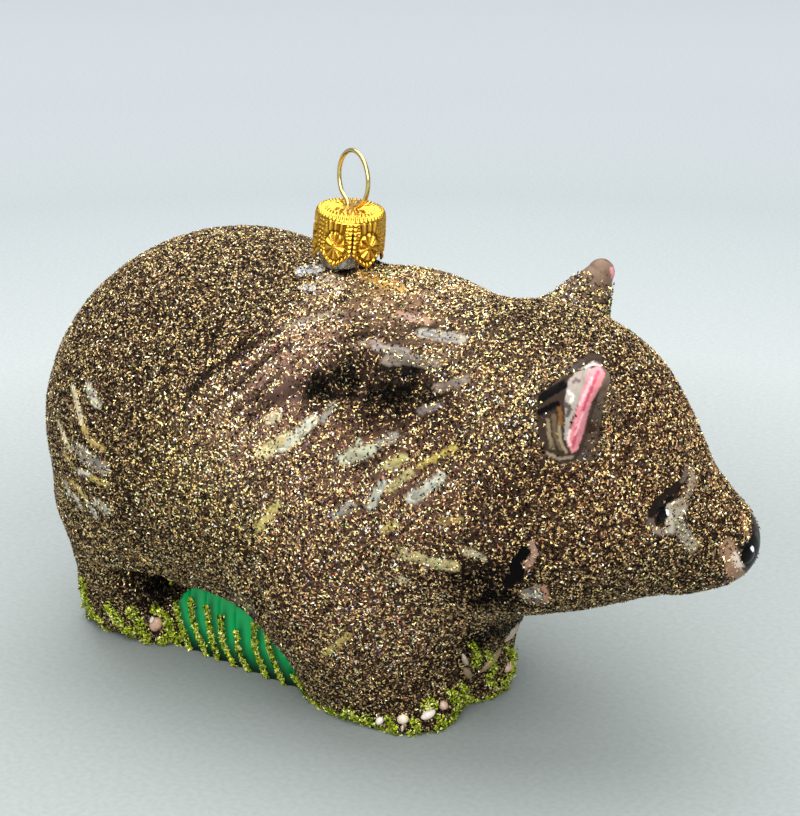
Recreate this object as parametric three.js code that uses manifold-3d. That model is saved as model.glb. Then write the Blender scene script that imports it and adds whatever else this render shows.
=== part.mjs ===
// Mouth-blown glass hanging ornament: a standing wombat on grass, with a stamped metal cap
// on its glass neck and a wire loop to hang it by. The wombat faces +X, its left side is +Y,
// and its feet stand on z = 0. The real glass is one blown shell. Here its outer form is one
// distance field, solid inside, and thin cuts part it into the pieces a person would name.
import * as THREE from 'three';
import { mergeVertices } from 'three/addons/utils/BufferGeometryUtils.js';
import Module from 'manifold-3d';

const wasm = await Module();
wasm.setup();

// Driving sizes, in millimetres and degrees
const GAP = 0.3;
const CENTRE_X = 6.6;
const CENTRE_Y = 0;

const RUMP = { at: [-21.7, 0, 37.9], radii: [26.5, 30.5, 27.2], pitch: 5.7 };
const SHOULDER = { at: [11.2, 0, 32.6], radii: [21.7, 27.1, 31.9], pitch: 1.5 };
const BODY_BLEND = 18;

const HEAD = { at: [29.2, -4.4, 44.8], yaw: 34.6, pitch: 17, roll: 7.8, blend: 9 };
const SKULL = { at: [6.5, 0, 0], radii: [23, 20.1, 21.6] };
const MUZZLE = { from: [11.1, 0, -2.3], to: [30.6, 0, -4.3], radius: 11.4, tip: 8.1, blend: 9 };
const NOSE = { at: [36.4, 0, -3.9], radii: [4, 5.2, 4.6], back: 36.6, under: -7.6, blend: 3.5 };
const CHEEK = { at: [1.1, 6.8, -7.7], radii: [12.8, 10.5, 10.5], blend: 7 };
const EYE = { at: [23.9, 13.1, 4.4], radii: [1.15, 0.9, 0.8], tilt: 35 };
const EAR = {
  from: [6.2, 13.6, 12], to: [8.6, 17.3, 21.9], root: 6.4, tip: 1.9, blend: 3,
  cup: [12.6, 20.6, 17.2], cupRadii: [4.2, 4.4, 8.6], cupEdge: 0.8,
  base: [7.2, 14.2, 14.9], lean: 38, reach: 8, step: 1.15,
};

const FRONT_LEG = {
  top: [10, 12.5, 25.3], topRadius: 12.3, ankle: [10.5, 8, 10.4], ankleRadius: 8.9,
  foot: [12.1, 6.8], half: [12.2, 6.4], instep: 10.2, cut: 1.8, cutHeight: 18.4,
};
const HIND_LEG = {
  top: [-31.1, 10.7, 23], topRadius: 13.3, ankle: [-35.4, 8.6, 10.4], ankleRadius: 9.6,
  foot: [-35.5, 6.9], half: [11.2, 6.4], instep: 9.4, cut: -26.8, cutHeight: 17.6,
};
const FOOT_ROUND = 6;
const FOOT_DEPTH = 7;
const LEG_BLEND = 5.5;
const HOLLOW = { at: [-25.5, 18, 12.5], radii: [5, 6, 4.5], edge: 2 };
const SOLE_ROUND = 1.8;

const CLAW = { length: 2.2, radius: 0.95, tip: 0.45, height: 2.4, sides: 6 };
const CLAW_FAN = { first: -66, step: 27, count: 4 };

const GRASS = { side: 10.9, wave: 0.45, pitch: 2.5, height: 12.6, samples: 4 };
const BLADE = { pitch: 2.5, root: 0.65, tip: 0.3, low: 7.2, rise: 3.4, lean: 0.7, sides: 5 };

const NECK_CUT = { yaw: 12, pitch: -13.5, distance: 41.4 };

const CAP = {
  at: [0.7, 0, 64.4], lean: 6, radius: 5.1, wall: 0.5, height: 8.3, shoulder: 1.1,
  petals: 6, firstSlit: 14.5, slit: 0.35, notch: 3.6, notchHeight: 2.6, sides: 36,
};
const GLASS_NECK = { radius: 3.9, sink: 2.4, bore: 2.6, boreDepth: 5.5, sides: 28 };
const LOOP = {
  wire: 0.32, radius: 4, feet: 1.1, legs: 3.6, splay: 1.5, turn: -20, rise: 4.35, opening: 32,
  sides: 8, arcs: 8, steps: 34,
};

const BODY_STEP = 3.3;
const HEAD_STEP = 2.1;
const LEG_STEP = 2.3;

const BROWN_GLITTER = { color: 0x6b5a4a, roughness: 0.55, metalness: 0.25 };
const GRASS_GREEN = { color: 0x0f9a5c, roughness: 0.2, metalness: 0.1 };
const BLACK_LACQUER = { color: 0x0c0a0a, roughness: 0.12, metalness: 0 };
const CLEAR_GLASS = { color: 0xd9dcdc, roughness: 0.1, metalness: 0.2 };
const GOLD_CAP = { color: 0xd9a82c, roughness: 0.3, metalness: 1 };
const BRASS_WIRE = { color: 0xd8c27a, roughness: 0.25, metalness: 1 };

// Vectors and turns
const radians = THREE.MathUtils.degToRad;

function vector(list) {
  return new THREE.Vector3(...list);
}

function turned(yaw = 0, pitch = 0, roll = 0) {
  const angles = new THREE.Euler(radians(roll), radians(pitch), radians(yaw), 'ZYX');
  return new THREE.Matrix4().makeRotationFromEuler(angles);
}

function frameAt(place, turn) {
  return turn.clone().setPosition(vector(place));
}

function mirrored(list, side) {
  return [list[0], list[1] * side, list[2]];
}

const headFrame = frameAt(HEAD.at, turned(HEAD.yaw, HEAD.pitch, HEAD.roll));
const capFrame = frameAt(CAP.at, turned(0, CAP.lean, 0));

function onHead(list) {
  return vector(list).applyMatrix4(headFrame);
}

// Distance fields: each is a function of x, y, z that is negative inside
function ellipsoid(at, radii, turn = new THREE.Matrix4()) {
  const back = turn.clone().setPosition(0, 0, 0).transpose().elements;
  const [a, b, c] = radii;
  return (x, y, z) => {
    const dx = x - at.x;
    const dy = y - at.y;
    const dz = z - at.z;
    const u = (back[0] * dx + back[4] * dy + back[8] * dz) / a;
    const v = (back[1] * dx + back[5] * dy + back[9] * dz) / b;
    const w = (back[2] * dx + back[6] * dy + back[10] * dz) / c;
    const near = Math.hypot(u, v, w);
    const slope = Math.hypot(u / a, v / b, w / c);
    return (near * (near - 1)) / Math.max(slope, 1e-6);
  };
}

function roundCone(from, to, fromRadius, toRadius) {
  const along = to.clone().sub(from);
  const square = along.lengthSq();
  return (x, y, z) => {
    const dx = x - from.x;
    const dy = y - from.y;
    const dz = z - from.z;
    const dot = (dx * along.x + dy * along.y + dz * along.z) / square;
    const t = Math.min(Math.max(dot, 0), 1);
    const away = Math.hypot(dx - t * along.x, dy - t * along.y, dz - t * along.z);
    return away - fromRadius - t * (toRadius - fromRadius);
  };
}

function roundBox(low, high, round) {
  return (x, y, z) => {
    const dx = Math.abs(x - (low[0] + high[0]) / 2) - (high[0] - low[0]) / 2 + round;
    const dy = Math.abs(y - (low[1] + high[1]) / 2) - (high[1] - low[1]) / 2 + round;
    const dz = Math.abs(z - (low[2] + high[2]) / 2) - (high[2] - low[2]) / 2 + round;
    const outside = Math.hypot(Math.max(dx, 0), Math.max(dy, 0), Math.max(dz, 0));
    return outside + Math.min(Math.max(dx, dy, dz), 0) - round;
  };
}

function softMin(a, b, width) {
  const h = Math.max(width - Math.abs(a - b), 0) / width;
  return Math.min(a, b) - h * h * width * 0.25;
}

function blend(width, ...fields) {
  return (x, y, z) => fields.slice(1).reduce(
    (value, field) => softMin(value, field(x, y, z), width), fields[0](x, y, z),
  );
}

function carve(width, field, cut) {
  return (x, y, z) => -softMin(-field(x, y, z), cut(x, y, z), width);
}

// The wombat's outer form
function legField(leg, side) {
  const top = vector(mirrored(leg.top, side));
  const ankle = vector(mirrored(leg.ankle, side));
  const shank = roundCone(top, ankle, leg.topRadius, leg.ankleRadius);
  const [x, y] = leg.foot;
  const foot = roundBox(
    [x - leg.half[0], y * side - leg.half[1], -FOOT_DEPTH],
    [x + leg.half[0], y * side + leg.half[1], leg.instep],
    FOOT_ROUND,
  );
  return blend(LEG_BLEND, shank, foot);
}

function earField(side) {
  const root = onHead(mirrored(EAR.from, side));
  const tip = onHead(mirrored(EAR.to, side));
  const horn = roundCone(root, tip, EAR.root, EAR.tip);
  const cup = ellipsoid(onHead(mirrored(EAR.cup, side)), EAR.cupRadii, headFrame);
  return carve(EAR.cupEdge, horn, cup);
}

function headField() {
  const skull = ellipsoid(onHead(SKULL.at), SKULL.radii, headFrame);
  const muzzle = roundCone(onHead(MUZZLE.from), onHead(MUZZLE.to), MUZZLE.radius, MUZZLE.tip);
  const nose = ellipsoid(onHead(NOSE.at), NOSE.radii, headFrame);
  const cheeks = [-1, 1].map(
    (side) => ellipsoid(onHead(mirrored(CHEEK.at, side)), CHEEK.radii, headFrame),
  );
  const snout = blend(NOSE.blend, blend(MUZZLE.blend, skull, muzzle), nose);
  return blend(CHEEK.blend, snout, ...cheeks);
}

const barrel = blend(
  BODY_BLEND,
  ellipsoid(vector(RUMP.at), RUMP.radii, turned(0, RUMP.pitch)),
  ellipsoid(vector(SHOULDER.at), SHOULDER.radii, turned(0, SHOULDER.pitch)),
);
const eared = blend(EAR.blend, blend(HEAD.blend, barrel, headField()), earField(-1), earField(1));
const legs = [FRONT_LEG, HIND_LEG].flatMap((leg) => [-1, 1].map((side) => legField(leg, side)));

// With the hollow on each side between the hind leg and the belly
const wombat = [-1, 1].reduce(
  (body, side) => carve(
    HOLLOW.edge, body, ellipsoid(vector(mirrored(HOLLOW.at, side)), HOLLOW.radii),
  ),
  blend(LEG_BLEND, eared, ...legs),
);
const standing = (x, y, z) => -softMin(-wombat(x, y, z), z + GAP / 2, SOLE_ROUND);

// A closed mesh of a field inside a box: one vertex in each grid cell that the surface
// crosses, moved onto the surface, and one quad across each grid edge that it crosses
function solidOf(field, low, high, step) {
  const count = low.map((value, axis) => Math.ceil((high[axis] - value) / step) + 1);
  const [nx, ny, nz] = count;
  const wall = roundBox(low.map((v) => v + step * 1.5), high.map((v) => v - step * 1.5), 0);
  const closed = (x, y, z) => Math.max(field(x, y, z), wall(x, y, z));
  const index = (i, j, k) => (i * ny + j) * nz + k;
  const values = new Float32Array(nx * ny * nz);
  for (let i = 0; i < nx; i += 1) {
    for (let j = 0; j < ny; j += 1) {
      for (let k = 0; k < nz; k += 1) {
        values[index(i, j, k)] = closed(low[0] + i * step, low[1] + j * step, low[2] + k * step);
      }
    }
  }
  fillCheckers(values, count, index);
  const places = [];
  const cellVertex = new Int32Array(nx * ny * nz).fill(-1);
  for (let i = 0; i < nx - 1; i += 1) {
    for (let j = 0; j < ny - 1; j += 1) {
      for (let k = 0; k < nz - 1; k += 1) {
        const middle = crossingMiddle(values, index, i, j, k);
        if (middle) {
          const place = middle.map((value, axis) => low[axis] + value * step);
          cellVertex[index(i, j, k)] = places.length / 3;
          places.push(...ontoSurface(closed, place, step));
        }
      }
    }
  }
  const faces = [];
  const around = [[0, 1, 2], [1, 2, 0], [2, 0, 1]];
  for (let i = 1; i < nx - 1; i += 1) {
    for (let j = 1; j < ny - 1; j += 1) {
      for (let k = 1; k < nz - 1; k += 1) {
        around.forEach(([axis, first, second]) => {
          const ahead = [i, j, k];
          ahead[axis] += 1;
          const here = values[index(i, j, k)] < 0;
          const there = values[index(...ahead)] < 0;
          if (here === there) {
            return;
          }
          const ring = [[-1, -1], [0, -1], [0, 0], [-1, 0]].map(([a, b]) => {
            const cell = [i, j, k];
            cell[first] += a;
            cell[second] += b;
            return cellVertex[index(...cell)];
          });
          faces.push(...quad(here ? ring : ring.reverse(), places));
        });
      }
    }
  }
  return solidFrom(new Float32Array(places), new Uint32Array(faces));
}

// Where a grid face has its two inside corners diagonally opposed, one outside corner is
// taken inside, so that no edge of the mesh is shared by four faces
function fillCheckers(values, count, index) {
  const barelyInside = -1e-3;
  let changed = true;
  while (changed) {
    changed = false;
    for (let i = 0; i < count[0] - 1; i += 1) {
      for (let j = 0; j < count[1] - 1; j += 1) {
        for (let k = 0; k < count[2] - 1; k += 1) {
          for (let axis = 0; axis < 3; axis += 1) {
            const corners = [[0, 0], [1, 0], [1, 1], [0, 1]].map(([a, b]) => {
              const corner = [i, j, k];
              corner[(axis + 1) % 3] += a;
              corner[(axis + 2) % 3] += b;
              return index(...corner);
            });
            const signs = corners.map((corner) => values[corner] < 0);
            if (signs[0] === signs[2] && signs[1] === signs[3] && signs[0] !== signs[1]) {
              values[signs[0] ? corners[1] : corners[0]] = barelyInside;
              changed = true;
            }
          }
        }
      }
    }
  }
}

function crossingMiddle(values, index, i, j, k) {
  const sum = [0, 0, 0];
  let crossings = 0;
  for (let axis = 0; axis < 3; axis += 1) {
    for (let a = 0; a < 2; a += 1) {
      for (let b = 0; b < 2; b += 1) {
        const near = [i, j, k];
        near[(axis + 1) % 3] += a;
        near[(axis + 2) % 3] += b;
        const far = [...near];
        far[axis] += 1;
        const u = values[index(...near)];
        const v = values[index(...far)];
        if ((u < 0) !== (v < 0)) {
          near[axis] += u / (u - v);
          near.forEach((value, n) => { sum[n] += value; });
          crossings += 1;
        }
      }
    }
  }
  return crossings ? sum.map((value) => value / crossings) : null;
}

function ontoSurface(field, place, step) {
  const h = 0.02;
  const rounds = 4;
  let [x, y, z] = place;
  for (let round = 0; round < rounds; round += 1) {
    const value = field(x, y, z);
    const gx = (field(x + h, y, z) - field(x - h, y, z)) / (2 * h);
    const gy = (field(x, y + h, z) - field(x, y - h, z)) / (2 * h);
    const gz = (field(x, y, z + h) - field(x, y, z - h)) / (2 * h);
    const square = Math.max(gx * gx + gy * gy + gz * gz, 0.2);
    const move = THREE.MathUtils.clamp(value / square, -step / 4, step / 4);
    x -= gx * move;
    y -= gy * move;
    z -= gz * move;
  }
  return [x, y, z];
}

function quad([a, b, c, d], places) {
  const place = (n) => new THREE.Vector3().fromArray(places, 3 * n);
  const apart = (m, n) => place(m).distanceTo(place(n));
  return apart(a, c) < apart(b, d) ? [a, b, c, a, c, d] : [a, b, d, b, c, d];
}

// Solids, their cuts and their meshes
function solidFrom(vertProperties, triVerts) {
  return new wasm.Manifold(new wasm.Mesh({ numProp: 3, vertProperties, triVerts }));
}

function solid(geometry, matrix = new THREE.Matrix4()) {
  const plain = geometry.clone();
  plain.deleteAttribute('normal');
  plain.deleteAttribute('uv');
  plain.applyMatrix4(matrix);
  const merged = mergeVertices(plain, 1e-4);
  const corners = Array.from(merged.index.array);
  const kept = [];
  for (let n = 0; n < corners.length; n += 3) {
    const [a, b, c] = corners.slice(n, n + 3);
    if (a !== b && b !== c && c !== a) {
      kept.push(a, b, c);
    }
  }
  return solidFrom(new Float32Array(merged.attributes.position.array), new Uint32Array(kept));
}

function box(low, high, matrix) {
  const geometry = new THREE.BoxGeometry(high[0] - low[0], high[1] - low[1], high[2] - low[2]);
  geometry.translate((low[0] + high[0]) / 2, (low[1] + high[1]) / 2, (low[2] + high[2]) / 2);
  return solid(geometry, matrix);
}

function largest(body) {
  const pieces = body.decompose();
  return pieces.reduce((best, piece) => (piece.volume() > best.volume() ? piece : best));
}

const ornament = new THREE.Group();
ornament.position.set(-CENTRE_X, -CENTRE_Y, 0);

function addNode(name, body, finish) {
  const { vertProperties, triVerts } = largest(body).getMesh();
  const geometry = new THREE.BufferGeometry();
  geometry.setAttribute('position', new THREE.BufferAttribute(new Float32Array(vertProperties), 3));
  geometry.setIndex(new THREE.BufferAttribute(new Uint32Array(triVerts), 1));
  const mesh = new THREE.Mesh(geometry, new THREE.MeshStandardMaterial(finish));
  mesh.name = name;
  ornament.add(mesh);
}

// Regions that part the glass, each a box that can be grown or shrunk by half the gap
const FAR = 90;

function headRegion(grow) {
  const turn = turned(NECK_CUT.yaw, NECK_CUT.pitch);
  return box([NECK_CUT.distance - grow, -FAR, -FAR], [FAR * 2, FAR, FAR], turn);
}

function frontLegRegion(grow) {
  return box([FRONT_LEG.cut - grow, -FAR, -FAR], [FAR, FAR, FRONT_LEG.cutHeight + grow]);
}

function hindLegRegion(grow) {
  return box([-FAR, -FAR, -FAR], [HIND_LEG.cut + grow, FAR, HIND_LEG.cutHeight + grow]);
}

function grassRegion(grow) {
  const side = GRASS.side + BLADE.root + grow;
  return box([HIND_LEG.cut - grow, -side, -FAR], [FRONT_LEG.cut + grow, side, GRASS.height + grow]);
}

function earRegion(side, grow) {
  const root = onHead(mirrored(EAR.base, side)).toArray();
  const turn = headFrame.clone().setPosition(0, 0, 0).multiply(turned(0, 0, -EAR.lean * side));
  const reach = EAR.reach + grow;
  return box([-reach, -reach, -grow], [reach, reach, FAR], frameAt(root, turn));
}

function noseRegion(grow) {
  return box([NOSE.back - grow, -FAR, NOSE.under - grow], [FAR, FAR, FAR], headFrame);
}

// An eye, or with grow the pocket that it sits in
function eyeBall(side, grow) {
  const ball = new THREE.SphereGeometry(1, 12, 8);
  const turn = headFrame.clone().setPosition(0, 0, 0).multiply(turned(0, -EYE.tilt, 0));
  const size = new THREE.Matrix4().makeScale(...EYE.radii.map((radius) => radius + grow));
  return solid(ball, frameAt(onHead(mirrored(EYE.at, side)).toArray(), turn).multiply(size));
}

// A round-ended spike from a root to a point, of few sides
function spike(from, to, rootRadius, tipRadius, sides) {
  const length = from.distanceTo(to);
  const profile = [
    new THREE.Vector2(0, -rootRadius),
    new THREE.Vector2(rootRadius, 0),
    new THREE.Vector2((rootRadius + tipRadius) / 1.8, length * 0.6),
    new THREE.Vector2(tipRadius, length - tipRadius * 0.6),
    new THREE.Vector2(0, length),
  ];
  const turn = new THREE.Quaternion().setFromUnitVectors(
    new THREE.Vector3(0, 1, 0), to.clone().sub(from).normalize(),
  );
  const matrix = new THREE.Matrix4().makeRotationFromQuaternion(turn).setPosition(from);
  return solid(new THREE.LatheGeometry(profile, sides), matrix);
}

// Claws fan round the outer front corner of a foot, each found by walking out to the surface
function claws(leg, side) {
  const [x, y] = leg.foot;
  const from = new THREE.Vector3(x + leg.half[0] / 3, y * side, CLAW.height);
  const found = [];
  for (let n = 0; n < CLAW_FAN.count; n += 1) {
    const angle = radians(-(CLAW_FAN.first + n * CLAW_FAN.step) * side);
    const way = new THREE.Vector3(Math.cos(angle), Math.sin(angle), 0);
    const edge = from.clone();
    while (wombat(edge.x, edge.y, edge.z) < 0) {
      edge.addScaledVector(way, 0.05);
    }
    const root = edge.clone().addScaledVector(way, -CLAW.length * 0.55);
    const tip = edge.clone().addScaledVector(way, CLAW.length * 0.45);
    tip.z -= CLAW.length * 0.35;
    found.push(spike(root, tip, CLAW.radius, CLAW.tip, CLAW.sides));
  }
  return found;
}

// The grass: a block whose long sides ripple like blades, with a raised blade on each ripple
function grassBlock() {
  const low = HIND_LEG.cut + GAP / 2;
  const high = FRONT_LEG.cut - GAP / 2;
  const steps = Math.round(((high - low) / GRASS.pitch) * GRASS.samples);
  const outline = new THREE.Shape();
  const edge = [];
  for (let n = 0; n <= steps; n += 1) {
    const x = low + ((high - low) * n) / steps;
    edge.push([x, GRASS.side - GRASS.wave * (1 + Math.cos((2 * Math.PI * n) / GRASS.samples))]);
  }
  outline.moveTo(edge[0][0], -edge[0][1]);
  edge.slice(1).forEach(([x, y]) => outline.lineTo(x, -y));
  [...edge].reverse().forEach(([x, y]) => outline.lineTo(x, y));
  const rise = { depth: GRASS.height - GAP / 2, bevelEnabled: false };
  const block = solid(new THREE.ExtrudeGeometry(outline, rise));
  const blades = [];
  const across = (high - low) / BLADE.pitch;
  for (let n = 0; n < Math.floor(across); n += 1) {
    [-1, 1].forEach((side) => {
      const x = low + (n + 0.5) * BLADE.pitch;
      const top = BLADE.low + BLADE.rise * (0.5 + 0.5 * Math.sin(n * 2.4 + side));
      const y = side * (GRASS.side - GRASS.wave / 2);
      const from = new THREE.Vector3(x + BLADE.lean, y, BLADE.root * 1.4);
      const to = new THREE.Vector3(x - BLADE.lean, y, top);
      blades.push(spike(from, to, BLADE.root, BLADE.tip, BLADE.sides));
    });
  }
  return blades.reduce((body, blade) => body.add(blade), block);
}

// The cap: a pressed metal cup with six petals that slits and notches divide
function capShell() {
  const { radius, wall, height, shoulder } = CAP;
  const profile = [
    [radius, 0], [radius + 0.12, height * 0.3], [radius - 0.1, height * 0.75],
    [radius - 0.2, height - shoulder], [radius - shoulder, height], [0, height + 0.25],
    [0, height - wall], [radius - shoulder - wall * 0.4, height - wall],
    [radius - 0.2 - wall, height - shoulder - wall * 0.4], [radius - wall, height * 0.3],
    [radius - wall, 0], [radius, 0],
  ].map(([x, y]) => new THREE.Vector2(x, y));
  const upright = turned(0, 0, 90);
  let shell = solid(new THREE.LatheGeometry(profile, CAP.sides), upright);
  for (let n = 0; n < CAP.petals; n += 1) {
    const turn = turned(CAP.firstSlit + (n * 360) / CAP.petals);
    const slot = new THREE.Shape();
    slot.moveTo(-CAP.notch / 2, -1);
    slot.lineTo(CAP.notch / 2, -1);
    slot.lineTo(CAP.slit / 2, CAP.notchHeight);
    slot.lineTo(CAP.slit / 2, height * 0.62);
    slot.lineTo(-CAP.slit / 2, height * 0.62);
    slot.lineTo(-CAP.slit / 2, CAP.notchHeight);
    const cutter = new THREE.ExtrudeGeometry(slot, { depth: radius, bevelEnabled: false });
    cutter.applyMatrix4(turned(90, 0, 90));
    cutter.translate(2, 0, 0);
    shell = shell.subtract(solid(cutter, turn));
  }
  [-1, 1].forEach((side) => {
    const hole = new THREE.CylinderGeometry(LOOP.wire + GAP, LOOP.wire + GAP, 4, 8);
    hole.applyMatrix4(turned(0, 0, 90));
    hole.translate(side * LOOP.feet, 0, height);
    shell = shell.subtract(solid(hole, turned(LOOP.turn)));
  });
  return shell.transform(capFrame.elements);
}

// The clear glass neck under the cap, with a blind bore where the wire's legs go in, and the
// round seat in the wombat's back that the neck and the cap stand in
function onCapAxis(radius, low, high, sides) {
  const rod = new THREE.CylinderGeometry(radius, radius, high - low, sides);
  rod.applyMatrix4(turned(0, 0, 90));
  rod.translate(0, 0, (low + high) / 2);
  return solid(rod, capFrame);
}

function glassNeck() {
  const { radius, sink, bore, boreDepth, sides } = GLASS_NECK;
  const top = CAP.height - CAP.wall - GAP;
  return onCapAxis(radius, -sink, top, sides).subtract(onCapAxis(bore, top - boreDepth, top + 1, sides));
}

function neckSeat() {
  const { radius, sink, sides } = GLASS_NECK;
  const well = onCapAxis(radius + GAP, -sink - GAP, 0, sides);
  return well.add(onCapAxis(CAP.radius + 2 * GAP, -GAP, CAP.height, CAP.sides));
}

// The wire: up through the cap, round the ring and down again, with splayed legs
function wireLoop() {
  const points = [[LOOP.feet * LOOP.splay, -LOOP.legs], [LOOP.feet, -0.5], [LOOP.feet, 0.5]];
  for (let n = 0; n <= LOOP.arcs; n += 1) {
    const angle = radians(-90 + LOOP.opening + ((360 - 2 * LOOP.opening) * n) / LOOP.arcs);
    points.push([LOOP.radius * Math.cos(angle), LOOP.rise + LOOP.radius * Math.sin(angle)]);
  }
  points.push([-LOOP.feet, 0.5], [-LOOP.feet, -0.5], [-LOOP.feet * LOOP.splay, -LOOP.legs]);
  const path = new THREE.CatmullRomCurve3(points.map(([x, z]) => new THREE.Vector3(x, 0, z)));
  const section = new THREE.Shape();
  for (let n = 0; n < LOOP.sides; n += 1) {
    const angle = (2 * Math.PI * n) / LOOP.sides;
    const place = [LOOP.wire * Math.cos(angle), LOOP.wire * Math.sin(angle)];
    section[n ? 'lineTo' : 'moveTo'](...place);
  }
  const along = { steps: LOOP.steps, extrudePath: path, bevelEnabled: false };
  const wire = new THREE.ExtrudeGeometry(section, along);
  wire.translate(0, 0, CAP.height);
  return solid(wire, capFrame.clone().multiply(turned(LOOP.turn)));
}

// Body and head
const whole = solidOf(standing, [-58, -40, -6], [50, 40, 78], BODY_STEP);
const above = box([-FAR, -FAR, 0], [FAR, FAR, FAR]);
const torso = [
  headRegion(GAP / 2), frontLegRegion(GAP / 2), hindLegRegion(GAP / 2), grassRegion(GAP / 2), neckSeat(),
].reduce((body, cut) => body.subtract(cut), whole.intersect(above));
addNode('torso', torso, BROWN_GLITTER);

const face = solidOf(standing, [12, -40, 15], [76, 46, 80], HEAD_STEP);
const head = [
  frontLegRegion(GAP / 2), earRegion(-1, GAP / 2), earRegion(1, GAP / 2), noseRegion(GAP / 2),
  eyeBall(-1, GAP), eyeBall(1, GAP),
].reduce((body, cut) => body.subtract(cut), face.intersect(headRegion(-GAP / 2)));
addNode('head', head, BROWN_GLITTER);
addNode('nose', face.intersect(noseRegion(-GAP / 2)), BLACK_LACQUER);

[['right', -1], ['left', 1]].forEach(([sideName, side]) => {
  const root = onHead(mirrored(EAR.base, side));
  const low = root.clone().subScalar(EAR.reach * 1.9).toArray();
  const high = root.clone().addScalar(EAR.reach * 1.9).toArray();
  const ear = solidOf(standing, low, high, EAR.step).intersect(earRegion(side, -GAP / 2));
  addNode(`ear_${sideName}`, ear.intersect(headRegion(-GAP / 2)), BROWN_GLITTER);
  addNode(`eye_${sideName}`, eyeBall(side, 0), BLACK_LACQUER);
});

// Legs, with the claws fused on
const feet = solidOf(standing, [-58, -36, -6], [44, 36, 26], LEG_STEP).intersect(above);
const grassSpace = grassRegion(GAP / 2);
[['right', -1], ['left', 1]].forEach(([sideName, side]) => {
  const halfSpace = side > 0
    ? box([-FAR, GAP / 2, -FAR], [FAR, FAR, FAR])
    : box([-FAR, -FAR, -FAR], [FAR, -GAP / 2, FAR]);
  [['front', FRONT_LEG, frontLegRegion], ['hind', HIND_LEG, hindLegRegion]].forEach(([end, leg, region]) => {
    const clawed = claws(leg, side).reduce((body, claw) => body.add(claw), feet);
    const limb = clawed.intersect(region(-GAP / 2)).intersect(halfSpace).intersect(above);
    addNode(`leg_${end}_${sideName}`, limb.subtract(grassSpace), BROWN_GLITTER);
  });
});

// Grass, glass neck, cap and loop
addNode('grass_ground', grassBlock(), GRASS_GREEN);
addNode('glass_neck', glassNeck(), CLEAR_GLASS);
addNode('cap', capShell(), GOLD_CAP);
addNode('hanging_loop', wireLoop(), BRASS_WIRE);

export default ornament;
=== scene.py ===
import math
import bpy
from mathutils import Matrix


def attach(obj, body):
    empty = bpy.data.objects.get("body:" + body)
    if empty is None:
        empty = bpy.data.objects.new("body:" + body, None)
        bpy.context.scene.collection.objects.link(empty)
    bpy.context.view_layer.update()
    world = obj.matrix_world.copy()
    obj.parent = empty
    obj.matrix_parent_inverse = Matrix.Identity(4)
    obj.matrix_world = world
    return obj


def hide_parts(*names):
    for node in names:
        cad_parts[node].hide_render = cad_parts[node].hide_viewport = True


bl_info = {
    "name": "Glass wombat ornament",
    "version": (1, 0, 0),
    "blender": (4, 5, 0),
    "location": "View3D > Sidebar > Ornament",
    "description": "Builds a blown glass wombat ornament with its glitter coat, cap and loop",
    "category": "Add Mesh",
}

import bmesh
import bpy
import numpy as np
from bpy.props import FloatProperty, FloatVectorProperty, IntProperty, PointerProperty
from mathutils import Vector

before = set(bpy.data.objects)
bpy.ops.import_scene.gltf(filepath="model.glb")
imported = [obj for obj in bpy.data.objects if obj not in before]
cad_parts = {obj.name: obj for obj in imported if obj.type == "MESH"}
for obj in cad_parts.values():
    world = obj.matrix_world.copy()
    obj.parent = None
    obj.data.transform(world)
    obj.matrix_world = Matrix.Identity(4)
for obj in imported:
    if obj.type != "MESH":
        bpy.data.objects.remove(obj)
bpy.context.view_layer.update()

# Lengths below are in millimetres and angles in degrees, in the frame of the mould, whose
# origin lies MOULD_X behind the part's own. Meshes are written in metres in the part's frame.
MM = 0.001
MOULD_X = 6.6
SEED = 20

# The blown form, as in the part's source
RUMP = dict(at=(-21.7, 0, 37.9), radii=(26.5, 30.5, 27.2), pitch=5.7)
SHOULDER = dict(at=(11.2, 0, 32.6), radii=(21.7, 27.1, 31.9), pitch=1.5)
BODY_BLEND = 18
HEAD = dict(at=(29.2, -4.4, 44.8), yaw=34.6, pitch=17, roll=7.8, blend=9)
SKULL = dict(at=(6.5, 0, 0), radii=(23, 20.1, 21.6))
MUZZLE = dict(root=(11.1, 0, -2.3), tip=(30.6, 0, -4.3), root_radius=11.4, tip_radius=8.1, blend=9)
NOSE = dict(at=(36.4, 0, -3.9), radii=(4, 5.2, 4.6), back=36.0, under=-8.4, blend=3.5)
CHEEK = dict(at=(1.1, 6.8, -7.7), radii=(12.8, 10.5, 10.5), blend=7)
EAR = dict(
    root=(6.2, 13.6, 12), tip=(8.6, 17.3, 21.9), root_radius=6.4, tip_radius=1.9, blend=3,
    cup=(12.6, 20.6, 17.2), cup_radii=(4.2, 4.4, 8.6), cup_edge=0.6,
)
FRONT_LEG = dict(
    top=(10, 12.5, 25.3), top_radius=12.3, ankle=(10.5, 8, 10.4), ankle_radius=8.9,
    foot=(12.1, 6.8), half=(12.2, 6.4), instep=10.2,
)
HIND_LEG = dict(
    top=(-31.1, 10.7, 23), top_radius=13.3, ankle=(-35.4, 8.6, 10.4), ankle_radius=9.6,
    foot=(-35.5, 6.9), half=(11.2, 6.4), instep=9.4,
)
FOOT_ROUND = 6
FOOT_DEPTH = 7
LEG_BLEND = 5.5
HOLLOW = dict(at=(-25.5, 18, 12.5), radii=(5, 6, 4.5), edge=2)
SOLE_ROUND = 1.8
SOLE_LIFT = 0.15
CAP = dict(
    at=(0.7, 0, 64.4), lean=6, radius=5.1, wall=0.32, height=8.3, shoulder=1.1, petals=6, first_slit=14.5,
)
NECK = dict(radius=3.9, sink=2.2, bore=2.6, bore_depth=5.5, collar=1.9, collar_radius=4.0, collar_blend=3)
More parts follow.
